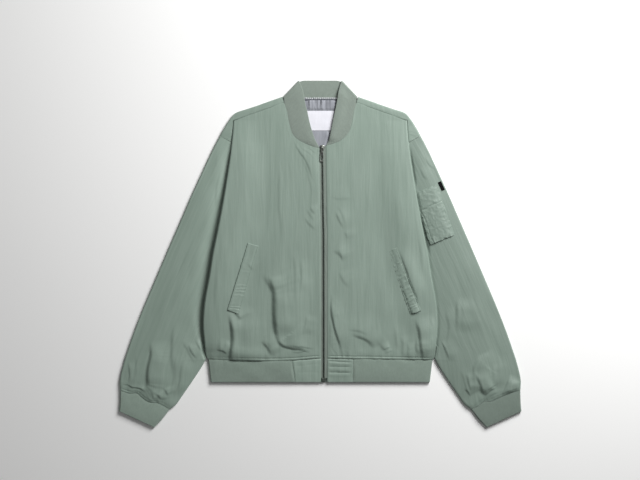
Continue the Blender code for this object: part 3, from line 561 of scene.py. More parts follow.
collarCut = {
    "fold": (86.2, 361.3, 50.2, 399.2),
    "front": {                  # from the zip to the neck point: sewn edge, and free edge
        rightSide: np.array([
            (2.4, 243.6, 2.1, 246), (15, 246.6, 5.5, 251.5), (32, 253, 10.7, 261),
            (46, 260, 15.5, 273.5), (56.5, 267.5, 20, 287), (64.5, 278, 25, 306),
            (69, 291, 30, 329), (73, 309, 33.3, 341), (76.4, 327.5, 36, 355),
            (82.6, 347, 39.5, 375)]),
        leftSide: np.array([
            (15, 249.9, 14.4, 251.9), (24, 252, 17.3, 256), (34, 255.3, 19.3, 261.5),
            (43, 259.2, 21.3, 269), (51.5, 264.6, 24, 281), (59.5, 272, 27.5, 299),
            (67, 283, 31, 316), (72, 298, 35, 335), (76.2, 321, 38.3, 352),
            (82.6, 347, 41.6, 373)]),
    },
    "back": np.array([
        (66, 357.4, 37, 399.3), (48, 356, 27, 399.3), (25, 354.8, 14, 399.3),
        (0, 354.4, 0, 399.3)]),
    "puff": 1.1,                # how far the doubled rib stands up between its edges
    "wide": 42, "foldLong": 52, # its mean width, and its width where it folds
    "stand": {rightSide: 0.6, leftSide: 4.2},       # how far a front's free edge stands up
    "rows": 14,
    "cut": (0.49, 0.052), "area": 0.0205,
}
print("body cut read")


def sideAt(column, y):
    # one column of the side table at any heights up the body
    return readTable(bodyCut["side"], y, column)


def edgeAt(side, y):
    # a front's edge beside the zip, out from the middle
    return side * readTable(bodyCut["zip"], y) + bodyCut["placket"][side]


def hemWave(x):
    # how far the hem's seam wanders upwards there
    return readTable(bodyCut["hemWave"], x)


frontLook = {
    "rows": 250, "columns": 116, "arc": 9, "flap": 5,
    "ripple": 0.25,             # height of the pressed crinkles
    "swell": 0.7,               # height of the broad waves
    "crumple": 0.85,            # height of the small facets near the hem
    "gather": 0.5,              # small gathers where the hem's rib draws the cloth in
    "cut": (0.30, 0.60), "area": 0.148,
    "blouse": {                 # across the body, and how far the cloth stands out over the hem
        rightSide: np.array([(0, 0.7), (50, 0.9), (85, 1.2), (120, 2), (165, 3.2),
                             (203, 2.8), (216, 0.8), (262, 0.3)]),
        leftSide: np.array([(0, 0.6), (60, 0.8), (120, 0.9), (180, 1.2), (226, 1.6),
                            (240, 0.7), (262, 0.5)]),
    },
    "lift": np.array([          # height up the body, and how far the right side's fold stands up
        (-228, 0), (-190, 2.4), (-120, 6.6), (-60, 7.6), (0, 7.6), (60, 6.4),
        (130, 3.8), (200, 0.8), (240, 0)]),
    "swells": {                 # pillows: middle, half size, height
        rightSide: [(163, -165, 50, 72, 1.8), (70, -120, 34, 90, 0.8),
                    (120, 190, 60, 90, 0.4)],
        leftSide: [(180, -165, 48, 66, 1.3), (95, -120, 40, 70, 0.8),
                   (112, 190, 62, 90, 0.5)],
    },
    "creases": {                # each one: its width, its height, and its line
        rightSide: [
            (10.5, 7.8, 142, -43, 123, -68, 112, -95, 112, -129, 108, -167, 102, -198, 93, -224),
            (7, 4.6, 106, -186, 96, -206, 77, -217, 50, -222, 22, -233),
            (3.4, 1.22, 84, -208, 62, -213, 31, -219, 10, -222),
            (3.4, 0.97, 70, -225, 48, -229, 26, -226),
            (9, 7, 215, -130, 209, -158, 206, -186, 208, -214, 210, -262),
            (3.6, 2.2, 198, -136, 190, -141, 184, -152),
            (5, 3.8, 139, -200, 124, -213, 113, -236),
            (3.4, 0.97, 128, -196, 117, -212, 108, -234),
            (3.4, 2.16, 240, -223, 226, -225, 213, -233),
            (3.4, 0.81, 232, -232, 222, -214, 218, -196),
            (4.5, 2.16, 118, -52, 114, -70, 112, -84), (3.4, 0.73, 168, -20, 160, -34, 150, -42),
            (3.4, 1.22, 47, -8, 45, -50, 47, -90), (4, 1.49, 31, -136, 37, -160, 43, -184),
            (5, 1.08, 64, 10, 60, -60, 62, -130), (6, 0.65, 80, -20, 76, -90, 70, -150),
            (4, 0.54, 55, 269, 45, 246, 28, 232, 13, 216),
            (4.2, 1.22, 66, 277, 58, 249, 38, 219, 28, 199, 20, 176, 14, 158),
            (5, 0.54, 48, 228, 34, 196, 25, 160, 20, 126), (3.4, 0.94, 30, 247, 20, 238, 9, 230),
            (3.4, 1.2, 27, 107, 20, 97, 12, 90), (3.6, 1.1, 40, 84, 24, 66, 10, 54),
            (3.4, 0.73, 36, 104, 26, 88, 12, 74), (4.4, 0.94, 97, 220, 98, 140, 94, 60, 97, 0),
            (13, 0.45, 134, 274, 124, 164, 126, 50, 122, -30),
            (12, 0.4, 180, 236, 186, 140, 200, 60), (9, 0.75, 164, 90, 160, 20, 172, -40),
            (9, 1.22, 230, 40, 244, -60, 248, -160),
            (3.4, 0.9, 168.4, 22, 191.5, -54, 215.2, -131),
        ],
        leftSide: [
            (5.6, 3.9, 24, -86, 22, -125, 27, -158, 35, -184, 42, -208, 48, -244),
            (3.4, 0.97, 18, -140, 20, -170, 19, -205, 24, -236),
            (7, 3.4, 68, -187, 92, -196, 108, -206, 122, -225),
            (4.4, 0.97, 62, -178, 88, -180, 112, -190),
            (3.6, 1.6, 146, -227, 156, -219, 163, -216),
            (3.4, 0.89, 150, -234, 160, -229, 168, -222),
            (7, 5.4, 213, -146, 224, -182, 229, -222, 231, -258),
            (4, 2.16, 222, -190, 219, -214, 221, -236),
            (3.4, 1.2, 182, -186, 188, -214, 186, -246),
            (3.4, 1.1, 199, -204, 201, -222, 200, -246),
            (4, 1.22, 168, -160, 171, -196, 176, -232),
            (3.4, 2.16, 252, -190, 256, -212, 254, -238),
            (4.4, 1.05, 250, -140, 258, -180, 260, -220), (4, 1.4, 27, 6, 42, -2, 53, -18),
            (3.4, 0.73, 36, 14, 44, 0, 50, -12), (5, 1.08, 40, -40, 50, -62, 66, -82),
            (3.6, 1.4, 31, 99, 42, 75, 55, 54), (3.6, 0.73, 36, 110, 50, 86, 58, 66),
            (3.4, 0.9, 54, 52, 62, 32), (4, 0.81, 22, 128, 46, 125, 76, 127),
            (11, 0.5, 64, 236, 70, 150, 66, 60, 72, -40),
            (12, 0.5, 100, 290, 106, 200, 102, 90, 110, -90),
            (11, 0.5, 132, 272, 144, 180, 142, 70, 150, 0), (9, 0.57, 166, 150, 173, 20),
            (9, 1.22, 206, 190, 216, 100, 228, 0, 246, -100),
            (8, 0.65, 130, -40, 136, -120, 128, -190),
            (4.4, 3.5, 173.5, 17, 202.5, -58, 231.5, -134),
            (3.4, 1.89, 234, -134, 221, -139, 206, -142),
        ],
    },
}


def frontPlain(x, y):
    # top of a front before its relief: level over the back, climbing to its folded side edge
    rise = ease((x - sideAt(2, y) + bodyCut["climb"]) / bodyCut["climb"])
    return bodyCut["loft"] + (sideAt(4, y) - bodyCut["loft"]) * rise


def frontHeight(side, x, y):
    # top of a front with broad waves, crinkles, creases, the blousing over its hem, the small
    # facets there, and the ridge and groove of its topstitched seam; still at its edges
    look = frontLook
    signed, fromFoot = side * x, y - bodyCut["hemSeamY"]
    small = np.exp(-np.maximum(fromFoot - 4, 0) / 26)
    small = small + 0.8 * hill(x - 26, 20) * ease((-60 - y) / 90) * (side == leftSide)
    drawn = np.exp(-np.maximum(fromFoot - 5, 0) / 9)
    crisp = 1 - 0.7 * ease((x - 130) / 70) * (side == rightSide)
    height = (look["swell"] * softNoise(signed / 74 + 9, y / 150, 21)
              + look["ripple"] * crinkle(signed, y, 31)
              + creaseHeight(x, y, look["creases"][side], side, 15 + side)
              + swellHeight(x, y, look["swells"][side])
              + look["crumple"] * np.minimum(small, 1) * crumple(signed, y * 0.6, 21, 41)
              + readTable(look["blouse"][side], x) * hill(fromFoot - 13, 15)
              + look["gather"] * drawn * softNoise(signed / 6.5, y / 60, 7)
              + crisp * (0.45 * hill(fromFoot - 2.6, 1.8, 4) - 0.8 * hill(fromFoot - 5.8, 1.2)))
    fromSide, fromZip = sideAt(1, y) - x, x - edgeAt(side, y)
    still = ease((fromSide - 2) / 15) * (0.12 + 0.88 * ease((fromZip - 1) / 9))
    lift = readTable(look["lift"], y) * (side == rightSide)
    return frontPlain(x, y) + height * still + lift * ease((84 - fromSide) / 80)


def frontPiece(side):
    # a patch between its four edges, turned under along its side and down to the side seam
    look, gap, table = frontLook, bodyCut["gap"], bodyCut["side"]
    neck = sideways(collarCut["front"][side][:, :2], gap / 2)
    start = [edgeAt(side, neck[0, 1]), neck[0, 1] - 0.1]
    shoulder = shoulderCut["yoke"][:5, 2:] - [0, gap + 0.15]
    shoulder[-1] = [table[-1, 1] - (table[-1, 4] - table[-1, 3]) / 2, table[-1, 0]]
    line = np.concatenate([[start], neck[1:], shoulder])
    knots = 0.5 * (alongLine(line) + (line[:, 0] - line[0, 0]) / (line[-1, 0] - line[0, 0]))
    across, up = steps(look["columns"], 0.3), steps(look["rows"], 0.5)
    top = readRows(line, knots, across)

    sideY = table[0, 0] + up * np.ptp(table[:, 0])
    edgeTop = sideAt(4, sideY)[:, None]
    edgeLoft = edgeTop - sideAt(3, sideY)[:, None]
    edge = grid(sideAt(1, sideY) - edgeLoft[:, 0] / 2, sideY)
    middleY = sideY[0] + up * (top[0, 1] - sideY[0])
    middle = grid(edgeAt(side, middleY), middleY)
    foot = middle[0] + across[:, None] * (edge[0] - middle[0])
    x, y = np.moveaxis(edgePatch(foot, top, middle, edge), -1, 0)

    fromTop = np.hypot(x - top[:, 0], y - top[:, 1])
    plain = frontPlain(x, y)
    level = plain + (frontHeight(side, x, y) - plain) * (0.1 + 0.9 * ease((fromTop - 1) / 26))
    level = level - 0.15 * hill(fromTop, 1.5) - 0.5 * hill(y - foot[0, 1], 1.5)
    level = level - 0.8 * hill(x - middle[:, :1], 1.2)
    y = y + hemWave(side * x) * (1 - ease((y - foot[0, 1]) / 70))

    arc = pi * edgeLoft / 2
    flap = edge[:, :1] - sideAt(2, sideY)[:, None] - gap
    run = joined([arc * steps(look["arc"])[1:], arc + flap * steps(look["flap"])[1:]])
    above = level[:, -1:] - edgeTop
    faces = []
    for depth in (0, bodyCut["shell"]):
        out, drop = turnOver(run, edgeLoft, depth)
        turnZ = edgeTop + above * (1 - np.clip(run / arc, 0, 1)) - drop
        faces.append(joined([grid(x, y, level - depth),
                             grid(edge[:, :1] + out, y[:, -1:], turnZ)]))
    grain = joined([grid(side * x, y), grid(side * (edge[:, :1] + run), y[:, -1:])])
    piece = clothWall(sided("nylonFront", side), *faces, nylon, grain, side=side)
    sewnIn(piece, [sided("front", side)], look["cut"], look["area"],
           ["back_panel", sided("sleeve", side)])


def backPiece():
    # the back on the floor, turned up over both shoulders and down to the front seams
    cut, radius, lead = shoulderCut, bodyCut["loft"] / 2, shoulderCut["lead"]
    yoke = readRows(cut["yoke"], alongLine(cut["yoke"][:, :2]), steps(54))
    fold, seam = yoke[:, :2], yoke[:, 2:]
    inward = unit(seam - fold)
    start = fold + inward * radius
    flap = np.linalg.norm(seam - start, axis=1)
    neck = cut["neck"]
    start = np.concatenate([neck[:, :2], start])
    inward = np.concatenate([np.tile([0, -1], (len(neck), 1)), inward])
    flap = np.concatenate([np.full(len(neck), flap[0]), flap])
    folded = np.concatenate([neck[:, 2], np.ones(len(yoke))])

    top = start + inward * lead
    low, hem = cut["armholeTop"], bodyCut["side"][0, 0]
    sideY = hem + steps(80) * (low - hem)
    rim = grid(sideAt(2, sideY), sideY)
    rim = np.concatenate([rim, [0.5 * (rim[-1] + top[-1])], [top[-1]]])
    up = alongLine(rim)
    across = np.interp(start[:, 0], [0, start[-1, 0]], [0, 1])[:, None]
    middle = np.array([0, 1]) * (rim[0, 1] + up[:, None] * (top[0, 1] - rim[0, 1]))
    foot = middle[0] + across * (rim[0] - middle[0])
    flat = edgePatch(foot, top, middle, rim)
    x, y = flat[..., 0], flat[..., 1]
    climb = sideAt(3, y) * ease((low - y) / cut["armholeClimb"])
    climb = climb * ease(1 - (sideAt(2, y) - x) / cut["sideClimb"])

    arc = pi * radius
    arcRun, flapRun = steps(14), steps(9)[1:]
    full = joined([np.tile(arc * arcRun, (len(start), 1)), arc + flap[:, None] * flapRun]).T
    short = np.linspace(-lead, 0, len(full) + 1)[1:, None]
    run = short + (full - short) * folded ** 0.5
    run = np.minimum(run, folded * (arc + flap) + 0.05 * short)
    part = np.concatenate([0 * arcRun, flapRun])[:, None] * (folded > 0.9)
    seamDip = 0.35 * hill(part - 1, 0.08)
    faces = []
    for depth in (0, bodyCut["shell"]):
        out, level = turnOver(run, bodyCut["loft"], depth)
        ends = start[None] - inward[None] * out[..., None]
        ripple = 0.4 * crinkle(ends[..., 1] * 1.5, ends[..., 0] * 1.5, 77)
        ripple = ripple * swell(np.clip(part, 0, 1)) - seamDip
        half = np.concatenate([grid(x, y, climb + depth),
                               grid(ends[..., 0], ends[..., 1], level + ripple)])
        faces.append(joined([half[:, :0:-1] * [-1, 1, 1], half]))
    laid = np.concatenate([flat, start[None] - inward[None] * run[..., None]])
    grain = joined([laid[:, :0:-1] * [-1, 1], laid])
    sewnIn(clothWall("nylonBack", *faces, nylon, grain), ["back_panel"],
           cut["cut"], cut["area"])


sleeveLook = {
    "edges": np.array([         # outer and inner edge at the same parts of the arm
        (231.1, 271.5, 188.6, 247.6), (241.3, 252.4, 185, 222), (251.3, 232.2, 185.4, 200),
        (277.3, 176, 187.3, 155), (296.4, 134, 191.5, 113), (315.5, 89.8, 198, 74),
        (340, 33.4, 206.6, 29), (364.6, -24, 217.6, -27), (387.2, -77, 227.8, -79),
        (411, -134, 239.3, -137), (429.2, -181.3, 250.6, -182),
        (437.6, -205, 258, -200), (443, -221, 264.2, -209.5),
        (447, -232.5, 266.4, -215), (450.6, -244.2, 265.3, -227.5),
        (453.9, -255.6, 263.1, -239.8), (456.8, -266.4, 268.2, -251.5),
        (460.6, -284, 288.5, -283.8), (461.7, -297, 314, -321.2),
        (461.4, -306, 334, -349.2), (460.7, -314, 346.8, -358.6)]),
    "rows": 250, "over": 84, "arc": 8, "under": 22,
    "loft": 7,
    "crown": {rightSide: 2.4, leftSide: 2.6},       # fullness between the body and outer fold
    "ripple": 0.17,
    "swell": 1.3,
    "crumple": 0.9,             # height of the small facets near the cuff
    "gather": 1.3,              # where the cuff draws the cloth in
    "hollow": {                 # height up the body, and how deep and wide the sleeve sinks
        rightSide: np.array([(-250, 1, 2.5), (-230, 2.4, 5), (-180, 4.4, 11),
                             (-110, 4.9, 17), (20, 4.9, 18), (80, 4.6, 16),
                             (140, 4.2, 14), (200, 3.4, 11), (250, 2, 6),
                             (300, 1, 2.5)]),
        leftSide: np.array([(-250, 1.2, 2.5), (-225, 2.4, 3), (-190, 1, 2.5),
                            (-100, 0.6, 2.5), (-10, 0.8, 3), (15, 3.8, 4),
                            (40, 3.8, 4), (68, 1.8, 3), (90, 0.7, 2.4),
                            (145, 0.8, 2.4), (175, 3.6, 3), (235, 3.2, 2.8),
                            (262, 1.4, 2.4), (300, 0.5, 2.4)]),
    },
    "way": (0.274, -0.962),     # the arm's direction
    "cut": (0.40, 0.66), "area": 0.19,
    "cuffWave": {               # part of the way across from the outer edge, and how far up
        rightSide: np.array([(0, 0), (0.17, 1), (0.33, 8), (0.42, 3.5), (0.58, -1),
                             (0.77, 4.5), (1, 1)]),
        leftSide: np.array([(0, 0.5), (0.2, 2.5), (0.41, 2), (0.58, 1), (0.72, 7),
                            (0.86, 1.5), (1, 1)]),
    },
    "creases": {
        rightSide: [
            (7, 6.8, 395, -200, 393, -229, 397, -252, 399, -275, 400, -298, 408, -308, 420, -314),
            (4, 1.7, 398, -318, 412, -318, 428, -313, 446, -303),
            (3.4, 1.05, 430, -312, 444, -303, 456, -300),
            (6.5, 2, 341, -150, 344, -230, 338, -300), (5, 1.05, 334, -226, 336, -280, 352, -322),
            (5, 0.97, 426, -226, 424, -266, 434, -300),
            (3.6, 1.62, 444, -246, 441, -280, 446, -300),
            (4.6, 1.76, 318, -240, 324, -290, 336, -326),
            (4.4, 2.16, 307, -206, 296, -229, 282, -243),
            (4, 0.97, 320, -196, 304, -228, 288, -256),
            (3.4, 1.49, 289, -196, 280, -214, 272, -226),
            (3.4, 2.29, 352, -330, 358, -318, 362, -308),
            (3.4, 2.16, 368, -342, 372, -330, 378, -320),
            (3.4, 1.22, 384, -338, 386, -326, 392, -314),
            (15, 0.7, 292, 70, 318, -20, 340, -110, 352, -200),
            (14, 1, 254, 148, 276, 60, 300, -20, 306, -90),
            (11, 0.5, 330, -10, 366, -100, 396, -180), (11, 0.5, 270, 190, 300, 110, 330, 40),
            (6, 0.73, 236, 232, 246, 196, 262, 160), (7, 1.22, 226, 210, 240, 150, 246, 96),
        ],
        leftSide: [
            (7, 2.6, 384, -222, 360, -240, 350, -263, 350, -290, 344, -318),
            (5.5, 1.46, 392, -216, 372, -240, 364, -262, 362, -282),
            (5, 3.9, 353, -270, 364, -298, 371, -321, 380, -330),
            (4, 3.64, 378, -330, 390, -317, 406, -308),
            (3.4, 1.22, 384, -334, 398, -325, 412, -320),
            (5, 4.2, 417, -330, 425, -305, 431, -286, 436, -274),
            (4.6, 1.4, 424, -326, 434, -304, 440, -286),
            (6, 1.13, 403, -232, 408, -270, 402, -312),
            (5, 1.35, 392, -250, 396, -282, 391, -306),
            (3.4, 2.29, 333, -272, 341, -300, 346, -322),
            (4, 0.89, 318, -262, 332, -300, 340, -330),
            (3.4, 1.76, 344, -330, 338, -318, 330, -312),
            (7, 2.86, 314, -98, 310, -137, 310, -182), (7, 0.97, 326, -84, 324, -130, 322, -190),
            (4.6, 1.49, 286, -120, 292, -170, 288, -214),
            (3.4, 1.89, 276, -200, 288, -226, 296, -250), (11, 0.81, 316, 0, 350, -94, 362, -150),
            (13, 0.97, 290, 6, 340, -120, 388, -236), (9, 0.81, 378, -150, 412, -226, 424, -262),
            (4, 0.73, 236, 226, 250, 204, 270, 190), (3.5, 0.73, 226, 200, 238, 176, 252, 168),
        ],
    },
}
cuffLook = {
    "edges": np.array([
        (460.8, -314.4, 347, -359), (461.2, -338, 363.4, -380.2),
        (463, -362.1, 381.8, -399.3)]),
    "rows": 16, "loft": 7, "puff": 1, "long": 47,
    "cut": (0.22, 0.055), "area": 0.0115,
}


def cuffWave(side, part):
    # how far up the arm the cuff's seam sits, a part of the way across it
    return readTable(sleeveLook["cuffWave"][side], np.clip(part, 0, 1))


def sleeveHeight(side, x, y):
    # top of a sleeve: a level tube, full between the body's edge and its own outer fold, sunk
    # along the body, with long folds, crinkles along the arm, and gathers out of the cuff
    look = sleeveLook
    edges, (wayX, wayY) = look["edges"][::-1], look["way"]
    outer = readRows(edges[:, 0], edges[:, 1], y)
    inner = readRows(edges[:, 2], edges[:, 3], y)
    bodyEdge = np.where(y > bodyCut["hemSeamY"], sideAt(1, y), inner)
    part = (x - bodyEdge - 2) / np.maximum(outer - bodyEdge - 4, 1)
    along, across = wayX * x + wayY * y, wayX * y - wayY * x
    mouth = cuffLook["edges"][0]
    axis = unit(mouth[:2] - mouth[2:])
    fromCuff = (x - mouth[2]) * -axis[1] + (y - mouth[3]) * axis[0]
    small = np.exp(-np.maximum(fromCuff - 3, 0) / 26)
    drawn = np.exp(-np.maximum(fromCuff, 0) / 10)
    height = (look["crown"][side] * swell(np.clip(part, 0, 1)) * ease(fromCuff / 60)
              + look["swell"] * softNoise(across / 60 + 3, along / 130, 51)
              + look["ripple"] * crinkle(across, along, 61 + side)
              + creaseHeight(x, y, look["creases"][side], side, 25 + side)
              + look["crumple"] * small * crumple(across, along * 0.6, 20, 81 + side)
              + look["gather"] * drawn * (0.3 + softNoise(across / 6, along / 50, 71))
              + 0.9 * hill(fromCuff - 13, 11)
              + 0.6 * hill(fromCuff - 2.4, 1.6, 4) - 0.7 * hill(fromCuff - 5.2, 1.1))
    clear = ease((x - bodyEdge - 1) / (9 if side == rightSide else 6))
    shut = ease((outer - x - 1) / 9)
    height = height * clear * (0.25 + 0.75 * shut) * (0.15 + 0.85 * ease(fromCuff / 7))
    deep, wide = [readTable(look["hollow"][side], y, k) for k in (1, 2)]
    deep = deep * ease((y - bodyCut["hemSeamY"] + 6) / 12)
    return look["loft"] + height - deep * hill(np.maximum(x - bodyEdge - 1, 0), wide, 2.2)


def flatTube(rows, loft, thick, over, arcs, under):
    # a tube pressed flat: over the top from its outer to its inner edge, round, and back along
    # the floor. Gives both faces, how far across each point is, and how far round the cloth
    outer, inner = rows[:, :2], rows[:, 2:]
    width = np.linalg.norm(inner - outer, axis=1)[:, None]
    way = unit(inner - outer)
    radius, wide, floor = loft / 2, width - loft, under[::-1]
    angle = halfTurn(arcs)
    topRun, floorRun = radius + wide * over, radius + wide * floor

    def everyRow(values):
        # the same values in all rows
        return np.tile(values, (len(width), 1))

    faces, runs = [], []
    for depth in (0, thick):
        bend, lift = (radius - depth) * np.sin(angle), (radius - depth) * np.cos(angle)
        run = joined([topRun, width - radius + bend, floorRun, everyRow(radius - bend)])
        level = joined([np.full(topRun.shape, loft - depth), everyRow(radius + lift),
                        np.full(floorRun.shape, depth), everyRow(radius - lift)])
        spots = outer[:, None] + way[:, None] * run[..., None]
        faces.append(grid(spots[..., 0], spots[..., 1], level))
        runs.append(run)
    turn, half = everyRow(angle * radius), wide + pi * radius
    around = joined([topRun - radius, wide + turn, half + wide * (1 - floor), half + wide + turn,
                     2 * half])
    return faces, runs[0] / width, around


def slidUp(faces, shift):
    # moves points back up the arm
    for face in faces:
        face[..., :2] -= shift[..., None] * sleeveLook["way"]


def sleevePiece(side):
    # a flat tube with the sleeve's relief on its top, its end following the cuff's seam
    look, edges = sleeveLook, sleeveLook["edges"]
    up = steps(look["rows"], 0.35)
    over, under = steps(look["over"], 0.35), steps(look["under"])
    faces, part, around = flatTube(bandAt(edges, up), look["loft"],
                                   bodyCut["shell"], over, look["arc"], under)
    count = len(over)
    x, y = faces[0][:, :count, 0], faces[0][:, :count, 1]
    length = up[:, None] * partsOf(middleLine(edges)).sum()
    toCuff = length[-1] - length
    rise = (sleeveHeight(side, x, y) - look["loft"]) * (0.1 + 0.9 * ease(length / 50))
    rise = rise - 0.1 * hill(length, 1.4) - 0.4 * hill(toCuff, 1.8)
    for face in faces:
        face[:, :count, 2] += rise
    slidUp(faces, cuffWave(side, part) * (1 - ease(toCuff / 55)))
    grain = grid(around * side, -length)
    # the arm's painted copy of the nylon: paler on the right arm and deeper on the left
    piece = clothWall(sided("nylonSleeve", side), *faces, armNylonPaintedLightAndShade[side], grain, True, side)
    sewnIn(piece, [sided("sleeve", side)], look["cut"], look["area"])


def ribsIn(length):
    # how many whole ribs fit a length
    return max(int(round(length / ribLook["pitch"])), 1)


def ribRise(along):
    # rounded ribs along a band: a cosine from rib to rib
    return ribLook["rise"] * (0.5 + 0.5 * np.cos(2 * pi * along / ribLook["pitch"]))


def ribSteps(length):
    # places along a band, four to a rib
    return np.linspace(0, 1, ribsIn(length) * max(int(4 * fine), 2) + 1)


def bandRows(count, rounded=0.03):
    # places across a band from its seam to its free edge, with four more round that edge
    plain = np.linspace(0, 1 - rounded, max(int(count * fine), 6))
    return np.concatenate([plain, 1 - rounded * (1 - np.sin(np.linspace(0.3, pi / 2, 4)))])


def cuffPiece(side):
    # a flat tube ribbed along the arm, its mouth a rounded fold
    look, edges = cuffLook, cuffLook["edges"]
    up = bandRows(look["rows"])[:, None]
    mouth = np.hypot(*(edges[0, :2] - edges[0, 2:]))
    over, ribLength = ribSteps(mouth), ribsIn(mouth) * ribLook["pitch"]
    faces, part, around = flatTube(bandAt(edges, up[:, 0]), look["loft"], bodyCut["rib"], over, 7,
                                   steps(30))
    count, length = len(over), look["long"] * up
    wavy = 0.5 * softNoise(part[:, :count] * 7, length / 22, 83)
    puff = look["puff"] * swell(up, 0.8) + wavy * swell(up)
    dip, drop = 0.25 * hill(length, 1.8), edgeRound(look["long"] - length, 1.15)
    faces[0][:, :count, 2] += ribRise(over * ribLength) + puff - dip - drop
    faces[1][:, :count, 2] += puff - dip + drop
    slidUp(faces, cuffWave(side, part) * (1 - ease(up / 0.85)))
    grain = grid(around[:1] / around[0, count - 1] * ribLength, length)
    # the arm's painted copy of the rib: paler on the right cuff and deeper on the left
    piece = clothWall(sided("ribCuff", side), *faces, armRibPaintedLightAndShade[side], grain, True, side)
    sewnIn(piece, [sided("cuff", side)], look["cut"], look["area"])


def collarPiece():
    # one band of doubled rib: over the right front, folded at the neck point, round the back on
    # the floor, folded again and over the left front; its ribs run from its seam to its free edge
    cut, loft, thick = collarCut, bodyCut["loft"], bodyCut["rib"]
    radius = loft / 2
    fold = np.array(cut["fold"]).reshape(2, 2)
    way = unit(fold[1] - fold[0])
    outward = np.array([way[1], -way[0]])
    start = fold - outward * radius
    turning = start.reshape(1, 4)
    across = bandRows(cut["rows"])[:, None]
    angles = halfTurn(10)
    outer, inner, places = [], [], []

    def lay(side, rows, flip, onTop, begin):
        # a flat stretch: on a front, or with its inner face up on the floor
        length = partsOf(middleLine(rows)).sum()
        t, ribLength = ribSteps(length), ribsIn(length) * ribLook["pitch"]
        band = bandAt(rows, t)
        if flip:
            band, t = band[::-1], t[::-1]
        flat = band[None, :, :2] + across[..., None] * (band[None, :, 2:] - band[None, :, :2])
        width = np.linalg.norm(band[:, 2:] - band[:, :2], axis=1)
        puff = cut["puff"] * swell(across, 0.8) * ease(width / 30)
        puff = puff + 0.5 * softNoise(flat[..., 0] / 26, flat[..., 1] / 26, 91) * swell(across)
        if onTop:
            lifted = ease(np.minimum(t, 1 - t) / 0.16) * ease((across - 0.25) / 0.6)
            puff = puff + cut["stand"][side] * lifted * ease(width / 30)
        dip, drop = 0.15 * hill(across * width, 1.4), edgeRound((1 - across) * width, 1.15)
        upper = (loft if onTop else thick) + puff - dip + ribRise(t * ribLength) - drop
        lower = (loft - thick + puff if onTop else 0) + drop
        for face, level in zip((outer, inner) if onTop else (inner, outer), (upper, lower)):
            face.append(grid(side * flat[..., 0], flat[..., 1], level))
        runs = abs(t - t[0]) * ribLength + begin
        places.append(grid(runs, across * cut["wide"]))
        return runs[-1]

    def bend(side, turns, begin):
        # half round, from a front down to the floor or back up
        spine = start[0] + across * (start[1] - start[0])
        for depth, face in ((0, outer), (thick, inner)):
            drop = edgeRound((1 - across) * cut["foldLong"], 1.15) * (1 if depth else -1)
            size = radius - depth + drop
            full = 0.6 * swell(across) * (depth == 0)
            face.append(grid(side * (spine[:, :1] + outward[0] * size * np.sin(turns)),
                             spine[:, 1:] + outward[1] * size * np.sin(turns),
                             radius + (size + full) * np.cos(turns)))
        runs = begin + pi * radius * np.arange(1, len(turns) + 1) / (len(turns) + 1)
        places.append(grid(runs, across * cut["wide"]))
        return begin + pi * radius

    frontRight, frontLeft = [np.concatenate([cut["front"][side], turning]) for side in bothSides]
    backHalf = np.concatenate([turning, cut["back"]])
    done = lay(rightSide, frontRight, False, True, 0)
    done = bend(rightSide, angles, done)
    done = lay(rightSide, backHalf, False, False, done)
    for part in (outer, inner, places):
        part[-1] = part[-1][:, :-1]
    done = lay(leftSide, backHalf, True, False, done)
    done = bend(leftSide, angles[::-1], done)
    lay(leftSide, frontLeft, True, True, done)
    piece = clothWall("ribCollar", joined(outer), joined(inner), rib, joined(places))
    sewnIn(piece, ["collar_rib"], cut["cut"], cut["area"],
           ["nylonFront_left", "nylonFront_right"])


hemLook = {
    "foot": -295.3, "topHalf": 258.2, "footHalf": 252.2, "rows": 16, "puff": 1.2,
    "deep": 50,                 # height of the band
    "tabs": {rightSide: (64.5, 57.5), leftSide: (75.5, 75)},       # at the seam and at the foot
    "cut": (0.90, 0.05), "area": 0.044,
}


